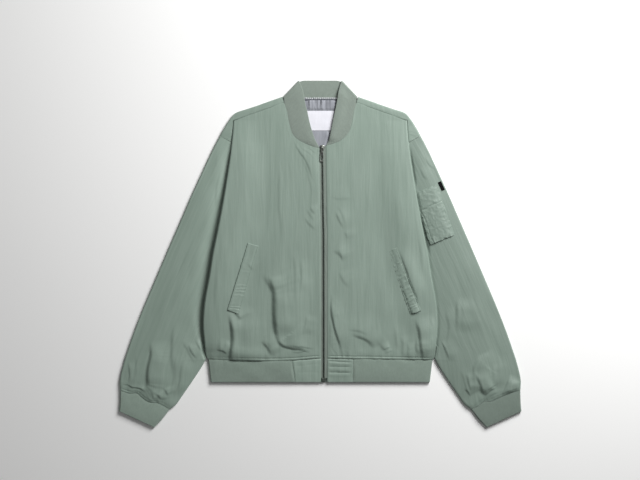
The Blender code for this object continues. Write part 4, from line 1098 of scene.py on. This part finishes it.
def hemPiece():
    # the rib band round the back, folded at both sides, up to the woven tabs beside the zip
    look, radius, thick = hemLook, bodyCut["loft"] / 2, bodyCut["rib"]
    up, deep = bandRows(look["rows"])[:, None], look["deep"]
    seamY = bodyCut["hemSeamY"] + bodyCut["gap"] / 3
    halves = look["topHalf"] - radius + up * (look["footHalf"] - look["topHalf"])
    plainY = seamY + up * (look["foot"] - seamY)
    angles = halfTurn(10)
    drop = edgeRound((1 - up) * deep, 1.15)
    outer, inner, places, begin = [], [], [], 0

    def wavyY(x):
        # places up the body that follow the wandering seam, less so towards the foot
        return plainY + hemWave(x) * (1 - ease(up / 0.9))

    for side in bothSides:
        tab = look["tabs"][side][0] + up * np.subtract(*look["tabs"][side][::-1]) + bodyCut["gap"]
        length = halves[0, 0] - tab[0, 0]
        t, ribLength = ribSteps(length), ribsIn(length) * ribLook["pitch"]
        x = tab + t * (halves - tab)
        puff = look["puff"] * swell(up, 0.7)
        puff = puff + softNoise(side * x / 38, up * 1.5, 97) * swell(up, 0.6)
        puff = puff + 0.4 * softNoise(side * x / 9, up * 2, 99) * np.exp(-up / 0.3)
        puff = puff * ease((halves - x) / 12) * ease((x - tab) / 6)
        flatZ = bodyCut["loft"] + puff - 0.35 * hill(up * deep, 2) - 0.5 * hill(x - tab, 1)
        runs = np.concatenate([t * ribLength, ribLength + radius * angles])
        flip = slice(None, None, -side)
        if side == leftSide:
            floorT = np.linspace(-1, 1, 121)
            outer.append(grid(floorT * halves, plainY, 0))
            inner.append(grid(floorT * halves, plainY, thick))
            places.append(begin + radius + (floorT + 1) * halves[0])
            begin = places[-1][-1] + radius
            runs = begin + (runs[-1] - runs)
        for face, size, level in ((outer, radius, flatZ + ribRise(t * ribLength) - drop),
                                  (inner, radius - thick, flatZ - thick + drop)):
            rounded = grid(side * (halves + size * np.sin(angles)), wavyY(side * halves),
                           radius + size * np.cos(angles))
            face.append(joined([grid(side * x, wavyY(side * x), level), rounded])[:, flip])
        places.append(runs[flip])
        begin = runs[-1]
    grain = grid(np.concatenate(places), up * deep)
    sewnIn(clothWall("ribHem", joined(outer), joined(inner), hemRib, grain),
           ["hem_rib"], look["cut"], look["area"])


def ruled(corners, u, v):
    # places between four corners, outer top and foot, inner top and foot: u runs from the inner
    # to the outer edge, and v from the foot to the top
    outerTop, outerFoot, innerTop, innerFoot = np.array(corners, float)
    inner = innerFoot + v * (innerTop - innerFoot)
    return inner + u * (outerFoot + v * (outerTop - outerFoot) - inner)


def fromRim(u, v, wide, tall):
    # how far inside a patch's nearest edge a place is
    return np.minimum(np.minimum(u, wide - u), np.minimum(v, tall - v))


def sewnPatch(name, side, look, heightOf, cells, profile, material, ragged=0):
    # a piece sewn on a panel: its outline is ruled between four corners, and it stands on the
    # panel's own height, moved out. profile adds its relief, and ragged is how far its puckered
    # seams wander
    outerTop, outerFoot, innerTop, innerFoot = corners = np.array(look["corners"], float)
    across, up = steps(cells[0], 0.5)[None, :], steps(cells[1], 0.3)[:, None]
    flat = ruled(corners, across[..., None], up[..., None])
    x, y = [flat[..., k] + ragged * softNoise(flat[..., 0] / 5, flat[..., 1] / 5, 113 + k)
            for k in (0, 1)]
    wide = np.linalg.norm(outerTop - innerTop + outerFoot - innerFoot) / 2
    tall = np.linalg.norm(outerTop - outerFoot + innerTop - innerFoot) / 2
    u, v, thick = across * wide, up * tall, look["thick"]
    base, relief = heightOf(side, x, y) + bodyCut["gap"], profile(u, v, wide, tall)
    rim = edgeRound(fromRim(u, v, wide, tall), 0.45 * thick)
    outer = grid(x, y, base + thick + relief - rim)
    inner = grid(x, y, np.minimum(base, base + relief) + 0.6 * rim)
    return clothWall(name, outer, inner, material, grid(u * side, v), side=side)


pocketLook = {
    "corners": {
        rightSide: [(166, 25), (213, -129), (142, 18), (187, -139)],
        leftSide: [(175, 14), (232, -131), (156, 7), (206, -139)],
    },
    "thick": 1.8,
    "wrinkles": {               # height up the welt, slant, half width, height
        rightSide: [(9, -5, 1.5, 0.6), (16, -8, 1.6, 0.5), (44, -7, 1.6, 0.4), (52, -5, 1.5, 0.6),
                    (60, -8, 1.6, 0.5), (67, -6, 1.5, 0.4), (100, -6, 2, 0.2)],
        leftSide: [(6, 9, 1.8, 1), (14, 4, 1.8, 1), (27, 10, 2.4, 1.3), (38, 6, 2, 0.9),
                   (56, 7, 2.4, 1.3), (68, 10, 2.2, 1.2), (84, 6, 2.4, 1.2), (105, 11, 2.4, 1),
                   (117, 5, 2, 0.7), (134, 9, 2.4, 0.5)],
    },
    "ragged": {rightSide: 0.3, leftSide: 0.7}, "crumple": {rightSide: 0.15, leftSide: 0.4},
    "cut": {rightSide: (0.028, 0.163), leftSide: (0.026, 0.156)},
}


def pocketPiece(side):
    # a slanted welt, doubled cloth: flat where it is sewn, proud along its opening, with the
    # short slanting wrinkles that its seam draws across it, strongest at its sewn edge
    look, isLeft = pocketLook, side == leftSide

    def profile(u, v, wide, tall):
        # sunk at its seam, rising to its opening, with a ridge and a dip for every wrinkle
        pressed = ease((v - 50) / 60) * isLeft
        height = -1.1 - 1.1 * pressed + 1.3 * ease(u / (8 + 8 * pressed))
        height = height + 0.5 * ease((u - wide + 8) / 6) * (not isLeft)
        for at, slant, size, rise in look["wrinkles"][side]:
            line = v - at - slant * u / wide + 1.2 * softNoise(u / 6, v / 14, 115)
            fade = ease(u / 2 + 0.3) * ease((wide - u) / 9 + 0.1)
            shape = np.exp(-np.abs(line) / size) - 0.5 * hill(line - 2 * size, size)
            height = height + rise * fade * shape
        height = height + look["crumple"][side] * crumple(u, v * 0.7, 11, 111 + side)
        height = height - 0.4 * (1 - pressed) * hill(u, 4) * isLeft
        return height - (0.5 - 0.45 * pressed) * hill(u - 2.4, 0.8) - 0.4 * hill(
            wide - 2.4 - u, 0.8)

    piece = sewnPatch(sided("pocketWelt", side), side, dict(look, corners=look["corners"][side]),
                      frontHeight, (30, 130), profile, nylon, look["ragged"][side])
    sewnIn(piece, [sided("pocket_welt", side)], look["cut"][side],
           None, [sided("nylonFront", side)])


sleevePocketLook = {
    "corners": [(268, 161), (309, 44), (208, 136), (253, 21)],
    "thick": 2.6,
    "crossSeam": 0.66,          # part of the way up
    "zipLine": 9,               # from the pocket's front edge
    "crumple": 0.65, "sunk": 2.4,
    "cut": (0.060, 0.128),
}


def sleevePocketPiece():
    # a patch pocket whose seams draw it into puckers, with a cross seam and a closed zip line
    look = sleevePocketLook

    def underBody(side, x, y):
        # the sleeve's height, sunk where the body's edge presses on it
        return sleeveHeight(side, x, y) - look["sunk"] * (1 - ease((x - sideAt(1, y)) / 7))

    def profile(u, v, wide, tall):
        # a pillow between its seams, with facets, puckers from the edges, and the zip's furrow
        fromEdge = fromRim(u, v, wide, tall)
        seam = v - tall * look["crossSeam"] - 0.06 * (u - wide / 2) - 1.5 * softNoise(
            u / 8, v / 30, 127)
        line = u - look["zipLine"] - 1.5 * softNoise(v / 13, u / 30, 128)
        beat = softNoise(v / 4.2, u / 30, 129)
        height = (0.5 * ease(fromEdge / 8) + 0.5 * ease((wide * 0.5 - abs(u - wide * 0.5)) / 20)
                  + look["crumple"] * crumple(u, v, 13, 121) + 0.2 * crumple(u, v, 6, 131)
                  - 0.6 * hill(seam, 1.4) + 0.4 * hill(seam - 4, 2.5) - 0.7 * hill(line, 1.3)
                  + 0.95 * beat * (hill(line + 3.4, 2.2) + hill(line - 3.2, 2)))
        edge = np.exp(-fromEdge / 4) * softNoise(u / 3.6, v / 3.6, 125)
        height = height * (0.3 + 0.7 * ease(fromEdge / 3)) + 0.35 * edge * ease(fromEdge / 1.5)
        flat = np.exp(-np.minimum(wide - u, tall - v) / 12)
        gathers = 1.6 + 1.4 * softNoise(u / 6, v / 40, 126)
        return height - 2.3 * flat + np.exp(-v / 5) * ease((wide - u) / 8) * gathers

    # on the left arm's copy of the nylon, painted deeper: painted shade
    piece = sewnPatch("sleevePocket", leftSide, look, underBody, (66, 140), profile,
                      armNylonPaintedLightAndShade[leftSide], 1.1)
    sewnIn(piece, ["sleeve_pocket"], look["cut"], None,
           ["nylonSleeve_left"])


sleeveTabLook = {
    "corners": [(277.6, 167.6), (286.8, 148), (270.6, 164.4), (279.4, 144.8)],
    "thick": 1,
}


def sleeveTabPiece():
    # a short end of black webbing caught in the pocket's top seam

    def profile(u, v, wide, tall):
        # rising from both edges, and a little more across its middle
        bound = 0.25 * ease(np.minimum(u, wide - u) / 1.2)
        return bound + 0.35 * hill(v - tall * 0.5, tall * 0.4)

    sewnIn(sewnPatch("webbingTab", leftSide, sleeveTabLook, sleeveHeight, (14, 36), profile,
                     webbing), ["sleeve_tab"])


tabLook = {
    "wrinkles": {               # height up the tab, slant, half width, height
        leftSide: [(43.7, -1, 1.3, -1.3), (39, 0, 3, 0.5), (32.2, 1, 1.3, -0.9),
                   (27, -1, 3, 0.5), (20.7, 0.5, 1.3, -1.2), (15, 0.5, 3, 0.4)],
        rightSide: [(38, -1, 1.8, -0.25), (21, 2, 2, -0.2)],
    },
    "cut": {rightSide: (0.066, 0.052), leftSide: (0.060, 0.052)},
}


def hemTabPiece(side):
    # the woven end of the hem beside the zip: doubled shell cloth, drawn into cross wrinkles
    seamX, footX = hemLook["tabs"][side]
    topY, footY, deep = bodyCut["hemSeamY"] - bodyCut["gap"] / 2, hemLook["foot"], hemLook["deep"]
    across, up = steps(34, 0.3)[None, :], bandRows(42)[:, None]
    zipTop, zipFoot = edgeAt(side, topY), edgeAt(side, footY)
    seamLine, zipLine = seamX + up * (footX - seamX), zipTop + up * (zipFoot - zipTop)
    x = zipLine + across * (seamLine - zipLine)
    y = topY + up * (footY - topY) + hemWave(side * x) * (1 - ease(up / 0.9))
    height = 0.4 * swell(up, 0.7) + 0.3 * softNoise(side * x / 12, up * 4, 131)
    inside = ease((x - zipLine) / 9) * ease((seamLine - x) / 14)
    for at, slant, size, rise in tabLook["wrinkles"][side]:
        line = (1 - up) * (topY - footY) - at - slant * across
        line = line + 0.8 * softNoise(x / 9, 0 * up, 133)
        height = height + rise * inside * hill(line, size, 1.3)
    dip = (1.2 * hill(up * deep, 1.8) + 0.8 * hill(seamLine - x, 1.2)
           + 0.5 * hill(x - zipLine, 0.9))
    level, drop = bodyCut["loft"] + height - dip, edgeRound((1 - up) * deep, 0.9)
    # the right tab takes the arms' paler copy of the nylon: painted light
    piece = levelWall(sided("hemTab", side), x, y, level - drop, level - bodyCut["shell"] + drop,
                      armNylonPaintedLightAndShade[rightSide] if side == rightSide else nylon, side)
    sewnIn(piece, [sided("hem_tab", side)], tabLook["cut"][side])


liningLook = {
    "topHalf": 74, "footHalf": 46, "topY": 353.4, "footY": 226, "floor": 2.3, "thick": 1,
    "gather": 2.6, "gatherWide": 6, "gatherTall": 30,
    "cut": (0.17, 0.13), "area": 0.016,
}


def liningPiece():
    # back lining gathered into the neck seam, smooth lower down but for a few soft folds
    look = liningLook
    across, down = steps(150)[None, :] * 2 - 1, steps(80)[:, None]
    half = look["topHalf"] + (look["footHalf"] - look["topHalf"]) * down
    x, y = across * half, look["topY"] + (look["footY"] - look["topY"]) * down
    bent = x + 3 * softNoise(x / 25, y / 14, 141)
    edges = [readRows(cut[:, 2], cut[:, 3], y) for cut in collarCut["front"].values()]
    inside = ease((edges[0] + x) / 5) * ease((edges[1] - x) / 5)
    full = np.exp(-(look["topY"] - y) / look["gatherTall"])
    folds = softNoise(bent / look["gatherWide"], y / 60, 143)
    folds = folds + 0.7 - 1.4 * np.sqrt(softNoise(bent / 7, y / 40, 144) ** 2 + 0.01)
    height = (look["gather"] * full * np.maximum(0.5 + folds, 0)
              + 1.2 * (0.5 + softNoise(bent / 13, y / 90, 145))
              + 1.3 * hill(x - 13 - 0.3 * (y - 260), 5) * ease((285 - y) / 14))
    height = height * inside * (1 - across ** 8) - 0.5 * hill(look["topY"] - y, 1.5)
    (left, right), (foot, top) = labelLook["x"], labelLook["y"]
    beside = np.maximum(ease((np.abs(x - (left + right) / 2) - 34) / 6),
                        ease((np.abs(y - (foot + top) / 2) - 23) / 6))
    base = look["floor"] + np.maximum(height, 0) * (0.25 + 0.75 * beside)
    sewnIn(levelWall("satinLining", x, y, base + look["thick"], base, satin),
           ["lining_back"], look["cut"], look["area"], ["nylonBack"])


def neckSeamPieces():
    # a dark grey strip along the neck seam, turned up on the collar, which paints the shadow line
    # under the collar, and the overlock's loops along it
    across, up = steps(60)[None, :], steps(5)[:, None]
    x, y = -44 + 88 * across, 353 + 3.4 * up + 0.3 * softNoise(across * 30, up, 147)
    top = 4.3 + 0.3 * swell(up) + 0.15 * softNoise(across * 40, up * 2, 148)
    sewnIn(levelWall("paintedNeckShadowStrip", x, y, top, top - 0.9, neckShadowCloth))
    x = np.arange(-42, 43, 4.6)
    centres = grid(x, 358.2 + 0.5 * softNoise(x / 5, x, 149), 4.7)
    sewnIn(repeated("neckOverlock", roundedGrain(6, 2.2), centres,
                    np.tile([0.25, 1, 0], (len(x), 1)), (1.9, 1.4, 0.6), paleThread))


labelLook = {"x": (-35, 33), "y": (284, 329), "floor": 3.6, "thick": 0.6,
             "cut": (0.068, 0.045)}


def labelPiece():
    # a plain white woven label, folded at its top and foot, lifting a little between its stitches
    look = labelLook
    across, up = steps(60, 0.4)[None, :], steps(44, 0.4)[:, None]
    x = look["x"][0] + across * np.ptp(look["x"])
    y = look["y"][0] + up * np.ptp(look["y"])
    lift = 0.5 * swell(across) * swell(up) + 0.2 * softNoise(x / 16, y / 14, 151)
    base = look["floor"] + lift * ease(np.minimum(up, 1 - up) * 6) + 0.25
    rim = edgeRound(np.minimum(up, 1 - up) * 45, 0.25)
    sewnIn(levelWall("whiteNeckLabel", x, y, base + look["thick"] - rim, base + rim, labelCloth),
           ["neck_label"], look["cut"], None, ["satinLining"])


zipLook = {
    "toothPitch": 2.1, "toothReach": 2.9, "toothLong": 1.15, "toothTop": 6.9, "toothFloor": 4.9,
    "tape": (4.6, 5.8), "foot": -285.6, "top": 236.1, "chain": 5,
    "tapeTop": {rightSide: 243, leftSide: 248.5},
}


def roundedGrain(count, power=3.2):
    # a small rounded block from -1 to 1: a ball whose sines and cosines are flattened
    sharp = 2 / power
    around = np.linspace(-pi, pi, count + 1)[:-1]
    ring = grid(flattened(np.cos(around), sharp), flattened(np.sin(around), sharp))
    spots = [[[0, 0, -1]]]
    for angle in np.linspace(-pi / 2, pi / 2, 5)[1:-1]:
        spots.append(grid(*(ring * flattened(np.cos(angle), sharp)).T,
                          flattened(np.sin(angle), sharp)))
    spots = np.concatenate(spots + [[[0, 0, 1]]])
    near, far = np.arange(count), np.roll(np.arange(count), -1)
    last = 1 + 3 * count
    faces = [(0, 1 + b, 1 + a) for a, b in zip(near, far)]
    for low in (1, 1 + count):
        faces += [(low + a, low + b, low + count + b, low + count + a) for a, b in zip(near, far)]
    faces += [(last, last - count + a, last - count + b) for a, b in zip(near, far)]
    return spots, faces


def repeated(name, shape, centres, ways, sizes, material):
    # one small shape set at many places: x along each way, y level across it, z up, and scaled
    spots, faces = shape
    ways = unit(ways)
    level = unit(grid(-ways[:, 1], ways[:, 0], 0))
    axes = np.stack([ways, level, np.cross(ways, level)], axis=1)
    every = centres[:, None] + np.einsum("pk,kd,nda->npa", spots, np.diag(sizes), axes)
    faces = [[i + k * len(spots) for i in face] for k in range(len(centres)) for face in faces]
    corners = [i for face in faces for i in face]
    return placed(name, every, faces, material, every.reshape(-1, 3)[corners, :2])


sliderLook = {
    "hinge": (4.652, 243.5, 10.5), "turn": -4, "droop": 4.5,    # its place, and turns in degrees
    "long": 14, "foot": 4.6, "top": 8.7,
    "half": np.array([(0, 3.8), (0.3, 4), (0.6, 4.9), (0.85, 5.5), (1, 5.1)]),         # along it
    "crown": {"span": 8.6, "high": 4.4, "bar": 0.75, "wide": 1.5},
    "pull": {                   # two frames: length from the hinge, half widths at both ends
        "eye": {"outer": (0.75, -8.4, 3.1, 2.7), "hole": (-0.8, -6.6, 1.7, 1.4)},
        "grip": {"outer": (-7, -32.3, 3, 4.6), "hole": (-10, -29.4, 1.3, 2.9)},
        "thick": 1.2, "power": 3.6,
    },
}


def onHinge(spots, drooped):
    # places beside the pull's hinge put where they are on the jacket
    look = sliderLook
    tilt = radians(look["droop"]) if drooped else 0
    y, z = turned(spots[..., 1], spots[..., 2], tilt)
    return grid(*turned(spots[..., 0], y, radians(look["turn"])), z) + look["hinge"]


def ringPiece(name, spots, closed=True):
    # a skin over a grid of points whose rows close on themselves, and whose columns close too or
    # end in a flat face
    index = np.arange(spots.shape[0] * spots.shape[1]).reshape(spots.shape[:2])
    index = np.hstack([index, index[:, :1]])
    if closed:
        index = np.vstack([index, index[:1]])
    faces = np.stack([index[:-1, :-1], index[:-1, 1:], index[1:, 1:], index[1:, :-1]], axis=-1)
    faces = faces.reshape(-1, 4).tolist()
    if not closed:
        faces += [index[0, :-1].tolist(), index[-1, :-1].tolist()]
    return placed(name, spots, faces, trimMetal, sharp=40)


def framePoints(outer, hole, thick, power):
    # a flat frame between two rounded outlines: superellipses joined by a rounded bar section
    around = wholeTurn(48)[:, None]

    def outline(top, foot, topHalf, footHalf):
        # a superellipse from top to foot whose half width changes on the way down
        up = flattened(np.sin(around), 2 / power)
        half = topHalf + (footHalf - topHalf) * (0.5 - 0.5 * up)
        return (half * flattened(np.cos(around), 2 / power),
                (top + foot) / 2 + up * (top - foot) / 2)

    (outX, outY), (inX, inY) = outline(*outer), outline(*hole)
    turn = wholeTurn(12) + pi / 12
    part = 0.5 + 0.5 * flattened(np.cos(turn), 0.45)
    level = 0.5 * thick * flattened(np.sin(turn), 0.55)
    return grid(inX + part * (outX - inX), inY + part * (outY - inY), level)


def sliderPieces():
    # the slider's waisted body and the crown over it, and the pull: an eye and a slotted grip
    look, crown, pull = sliderLook, sliderLook["crown"], sliderLook["pull"]
    along = 0.5 - 0.5 * np.cos(np.linspace(0.06, pi - 0.06, 22))[:, None]
    around = wholeTurn(32)
    ends = (1 - np.abs(2 * along - 1) ** 6) ** 0.5
    x = readTable(look["half"], along) * ends * flattened(np.cos(around), 0.55)
    middle, deep = (look["foot"] + look["top"]) / 2, (look["top"] - look["foot"]) / 2
    z = middle - look["hinge"][2] + deep * (0.55 + 0.45 * ends) * flattened(np.sin(around), 0.6)
    z = z + 0.35 * hill(x, 3) * (np.sin(around) > 0)
    body = grid(x, (along - 0.5) * look["long"], z)

    arch, turn = np.linspace(0, pi, 17)[:, None], wholeTurn(12)
    bar = crown["bar"] / 2 * np.sin(turn)
    archZ = look["top"] - look["hinge"][2] - 0.8 + (crown["high"] + 0.8) * np.sin(arch) ** 0.6
    bridge = grid(crown["wide"] / 2 * np.cos(turn), -(crown["span"] / 2 + bar) * np.cos(arch),
                  archZ + bar * np.sin(arch))
    for name, spots in (("zipSliderBody", body), ("zipSliderCrown", bridge)):
        sewnIn(ringPiece(name, onHinge(spots, False), False), ["zip_slider"])
    for part in ("eye", "grip"):
        spots = framePoints(pull[part]["outer"], pull[part]["hole"], pull["thick"], pull["power"])
        piece = ringPiece(f"zipPull_{part}", onHinge(spots, True))
        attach(piece, "pull")
        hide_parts("zip_pull")


def zipTapePiece(side):
    # the tape between the chain and the front's edge, its woven cord edge next to the teeth
    look = zipLook
    across, up = steps(6)[None, :], steps(200)[:, None]
    y = look["foot"] + up * (look["tapeTop"][side] - look["foot"])
    near, far = look["chain"] / 2 + 0.1, bodyCut["placket"][side] - 0.2
    x = side * readTable(bodyCut["zip"], y) + near + across * (far - near)
    low, high = look["tape"]
    wave = 0.25 * softNoise(across * 2, y / 14, 161 + side)
    sewnIn(levelWall(sided("zipTape", side), x, y, high + wave, low, tapeCloth, side),
           [sided("zip_tape", side)])


def zipChainPieces():
    # two rows of teeth that interlock over the zip's middle, each on its cord
    look = zipLook
    low, high, pitch = look["toothFloor"], look["toothTop"], look["toothPitch"]
    sizes = (look["toothReach"] / 2, look["toothLong"] / 2, (high - low) / 2)
    for side in bothSides:
        y = np.arange(look["foot"] + 1.2, look["top"], pitch) + pitch / 2 * (side == rightSide)
        y = y[y < look["top"] - 0.6]
        centres = grid(readTable(bodyCut["zip"], y) + side * 1.05, y, (low + high) / 2)
        piece = repeated(sided("zipTeeth", side), roundedGrain(8), centres,
                         np.tile([1, 0, 0], (len(y), 1)), sizes, shadedToothMetal)
        sewnIn(piece, ["zip_chain"])
    around = wholeTurn(8)
    y = look["foot"] + steps(160)[:, None] * (look["top"] - look["foot"])
    grain = grid(np.linspace(0, 4, 9), y)
    for side in bothSides:
        x = readTable(bodyCut["zip"], y) + side * 2
        faces = [grid(x + size * np.cos(around), y, 5.35 + size * np.sin(around))
                 for size in (0.62, 0.3)]
        sewnIn(clothWall(sided("zipCord", side), *faces, tapeCloth, grain, ring=True),
               ["zip_chain"])


stitchLook = {"long": 2.3, "step": 3, "wide": 0.40, "high": 0.26}


def topOf(name, line):
    # height of a built piece over places on it: the nearest upper points, weighted by closeness
    lowest, reach, deep = 2.6, 2.8, 1.7     # of the points used, how near, and how far below
    mesh = bpy.data.objects[name].data
    spots = np.empty(len(mesh.vertices) * 3)
    mesh.vertices.foreach_get("co", spots)
    spots = spots.reshape(-1, 3) / mm
    low, high = line.min(axis=0) - 6, line.max(axis=0) + 6
    near = np.all((spots[:, :2] > low) & (spots[:, :2] < high), axis=1)
    spots = spots[near & (spots[:, 2] > lowest)]
    away = np.hypot(line[:, :1] - spots[:, 0], line[:, 1:] - spots[:, 1])
    close = away < np.maximum(reach, away.min(axis=1, keepdims=True) * 1.3)
    crest = np.where(close, spots[:, 2], -9).max(axis=1, keepdims=True)
    weight = close * (spots[:, 2] > crest - deep) / (away + 0.15) ** 3
    return (weight * spots[:, 2]).sum(axis=1) / weight.sum(axis=1)


def stitchRun(line, name, side=1):
    # centres and directions of stitches along a line of places, laid on the cloth of a piece
    line = np.asarray(line, float) * [side, 1]
    length = partsOf(line).sum()
    count = max(int(length / stitchLook["step"]), 1)
    places = (np.arange(count) + 0.5) / count
    reach = 0.5 * stitchLook["long"] / length
    ends = [smoothLine(line, places + sign * reach) for sign in (-1, 1)]
    levels = [topOf(name, end) for end in ends]
    ways = grid(*(ends[1] - ends[0]).T, levels[1] - levels[0])
    return grid(*smoothLine(line, places).T, 0.5 * (levels[0] + levels[1]) + 0.05), ways


def stitched(name, runs, material):
    # every stitch of several lines in one piece
    centres, ways = [np.concatenate(parts) for parts in zip(*runs)]
    sizes = [stitchLook[k] / 2 for k in ("long", "wide", "high")]
    sewnIn(repeated(name, roundedGrain(6, 2.2), centres, ways, sizes, material))


def onBothSides(linesOf):
    # the stitches of every line, with the piece that it lies on, of the right side and the left
    return [stitchRun(line, name, side) for side in bothSides for line, name in linesOf(side)]


def collarLines(side):
    # two lines of topstitching beside the collar seam on each front
    line = smoothLine(collarCut["front"][side][:, :2], np.linspace(0, 1, 60))
    return [(sideways(line, off)[skip:], sided("nylonFront", side))
            for off, skip in ((2.6, 4), (7.6, 6))]


def frontLines(side):
    # along the zip placket, above the hem, and on the shoulder and cap seams
    y, x = np.linspace(-241, 240, 80), np.linspace(side * 8 + 14, 255, 80)
    hemY = bodyCut["hemSeamY"] + hemWave(side * x) + 5.8
    yoke = smoothLine(shoulderCut["yoke"][:5, 2:], np.linspace(0.02, 0.97, 40))
    front = sided("nylonFront", side)
    return [(grid(edgeAt(side, y) + 5, y), front), (grid(x, hemY), front),
            (sideways(yoke, -1.9), "nylonBack"),
            ([(206.5, 262), (216, 267.5), (227.5, 273.5)], "nylonBack")]


def pocketLines(side):
    # round each welt, and a bar at both its ends
    outerTop, outerFoot, innerTop, innerFoot = np.array(pocketLook["corners"][side], float)
    across, down = 2.4 * unit(innerTop - outerTop), 2 * unit(outerFoot - outerTop)
    return [(np.linspace(a, b, 30)[1:-1], sided("pocketWelt", side))
            for a, b in ((outerTop + across, outerFoot + across),
                         (innerTop - across, innerFoot - across),
                         (outerTop + down, innerTop + down),
                         (outerFoot - down, innerFoot - down))]


def sleeveLines(side):
    # above the cuff, and on the left round the sleeve pocket, its cross seam and its zip line
    part, mouth = np.linspace(0.03, 0.97, 60)[:, None], cuffLook["edges"][0]
    line = mouth[:2] + part * (mouth[2:] - mouth[:2])
    line = line - np.array(sleeveLook["way"]) * (cuffWave(side, part) + 5.2)
    lines = [(line, sided("nylonSleeve", side))]
    ends = [((0.045, 0.02), (0.045, 0.98)), ((0.955, 0.02), (0.955, 0.98)),
            ((0.03, 0.02), (0.97, 0.02)), ((0.03, 0.98), (0.97, 0.98)),
            ((0.03, 0.69), (0.97, 0.69)), ((0.03, 0.635), (0.97, 0.635)),
            ((0.27, 0.03), (0.27, 0.97)), ((0.11, 0.03), (0.11, 0.97))]
    for a, b in ends if side == leftSide else ():
        u, v = np.linspace(a, b, 16).T[..., None]
        lines.append((ruled(sleevePocketLook["corners"], u, v), "sleevePocket"))
    return lines


def hemLines(side):
    # down the seam where the rib meets the woven tab
    seamX, footX = hemLook["tabs"][side]
    return [(np.linspace((seamX - 2.4, -248), (footX - 2.4, -292.5), 12), sided("hemTab", side))]


def neckStitches():
    # the label's top and foot
    x = np.linspace(-32.5, 30.5, 20)
    return [stitchRun(grid(x, y), "whiteNeckLabel") for y in (326.6, 286.4)]


backPiece()
for side in bothSides:
    for make in (frontPiece, sleevePiece, cuffPiece, hemTabPiece, pocketPiece, zipTapePiece):
        make(side)
print("shell made")
collarPiece()
hemPiece()
print("ribs made")
for make in (sleevePocketPiece, sleeveTabPiece, liningPiece, neckSeamPieces, labelPiece,
             zipChainPieces, sliderPieces):
    make()
print("trims made")
for name, linesOf in (("collarStitching", collarLines), ("frontStitching", frontLines),
                      ("pocketStitching", pocketLines), ("sleeveStitching", sleeveLines),
                      ("hemStitching", hemLines)):
    stitched(name, onBothSides(linesOf), thread)
stitched("neckStitching", neckStitches(), paleThread)
print("stitching made")
# the zip's box takes the teeth's deeper metal, which paints shade on it
for slot in bpy.data.objects["zip_box"].material_slots:
    slot.material = shadedToothMetal


studio = {                      # in metres and watts
    "floor": "#FEFEFD", "floorFar": 6.0, "floorLow": -0.0006,
    "key": {"place": (1.06, 1.30, 1.30), "size": 1.1, "power": 62.5},
    "fill": {"place": (0.4, 0.4, 3.4), "size": 2.4, "power": 8.0},
    "air": 0.11,
    # the lens in mm, and in metres what the view takes in, its middle and the jacket's top
    "lens": 100.0, "width": 1.472, "middle": (-0.0006, 0.032), "top": 0.007,
}


def studioFloor():
    # a plain pale floor under the jacket
    material, shader = newMaterial("matPaintedFloor", 0.9)[::2]
    fillInputs(shader, {"Base Color": linearColor(studio["floor"])})
    mesh = bpy.data.meshes.new("floor")
    far, low = studio["floorFar"], studio["floorLow"]
    mesh.from_pydata([(-far, -far, low), (far, -far, low), (far, far, low), (-far, far, low)],
                     [], [(0, 1, 2, 3)])
    mesh.materials.append(material)
    floor = inScene(bpy.data.objects.new("studioFloor", mesh))


def softLight(name, place, size, power):
    # a square softbox aimed at the jacket's middle
    light = bpy.data.lights.new(name, "AREA")
    light.shape, light.size, light.energy = "SQUARE", size, power
    lamp = inScene(bpy.data.objects.new(name, light))
    lamp.location = place
    lamp.rotation_euler = (-Vector(place)).to_track_quat("-Z", "Y").to_euler()
    lamp.visible_camera = False


def studioCamera():
    # straight above, its long lens taking in the whole width of the view
    data = bpy.data.cameras.new("camera")
    data.lens, data.sensor_width, data.clip_end = studio["lens"], 36.0, 60.0
    away = studio["width"] * data.lens / data.sensor_width
    camera = inScene(bpy.data.objects.new("camera", data))
    camera.location = (*studio["middle"], away + studio["top"])
    bpy.context.scene.camera = camera


studioFloor()
softLight("keyLight", **studio["key"])
softLight("fillLight", **studio["fill"])
world = bpy.data.worlds.new("studioAir")
world.use_nodes = True
air = world.node_tree.nodes["Background"]
fillInputs(air, {"Color": (1.0, 1.0, 1.0, 1.0), "Strength": studio["air"]})
bpy.context.scene.world = world
bpy.context.scene.view_settings.view_transform = "Standard"     # keeps the cloth's own colours
studioCamera()
print("studio made")
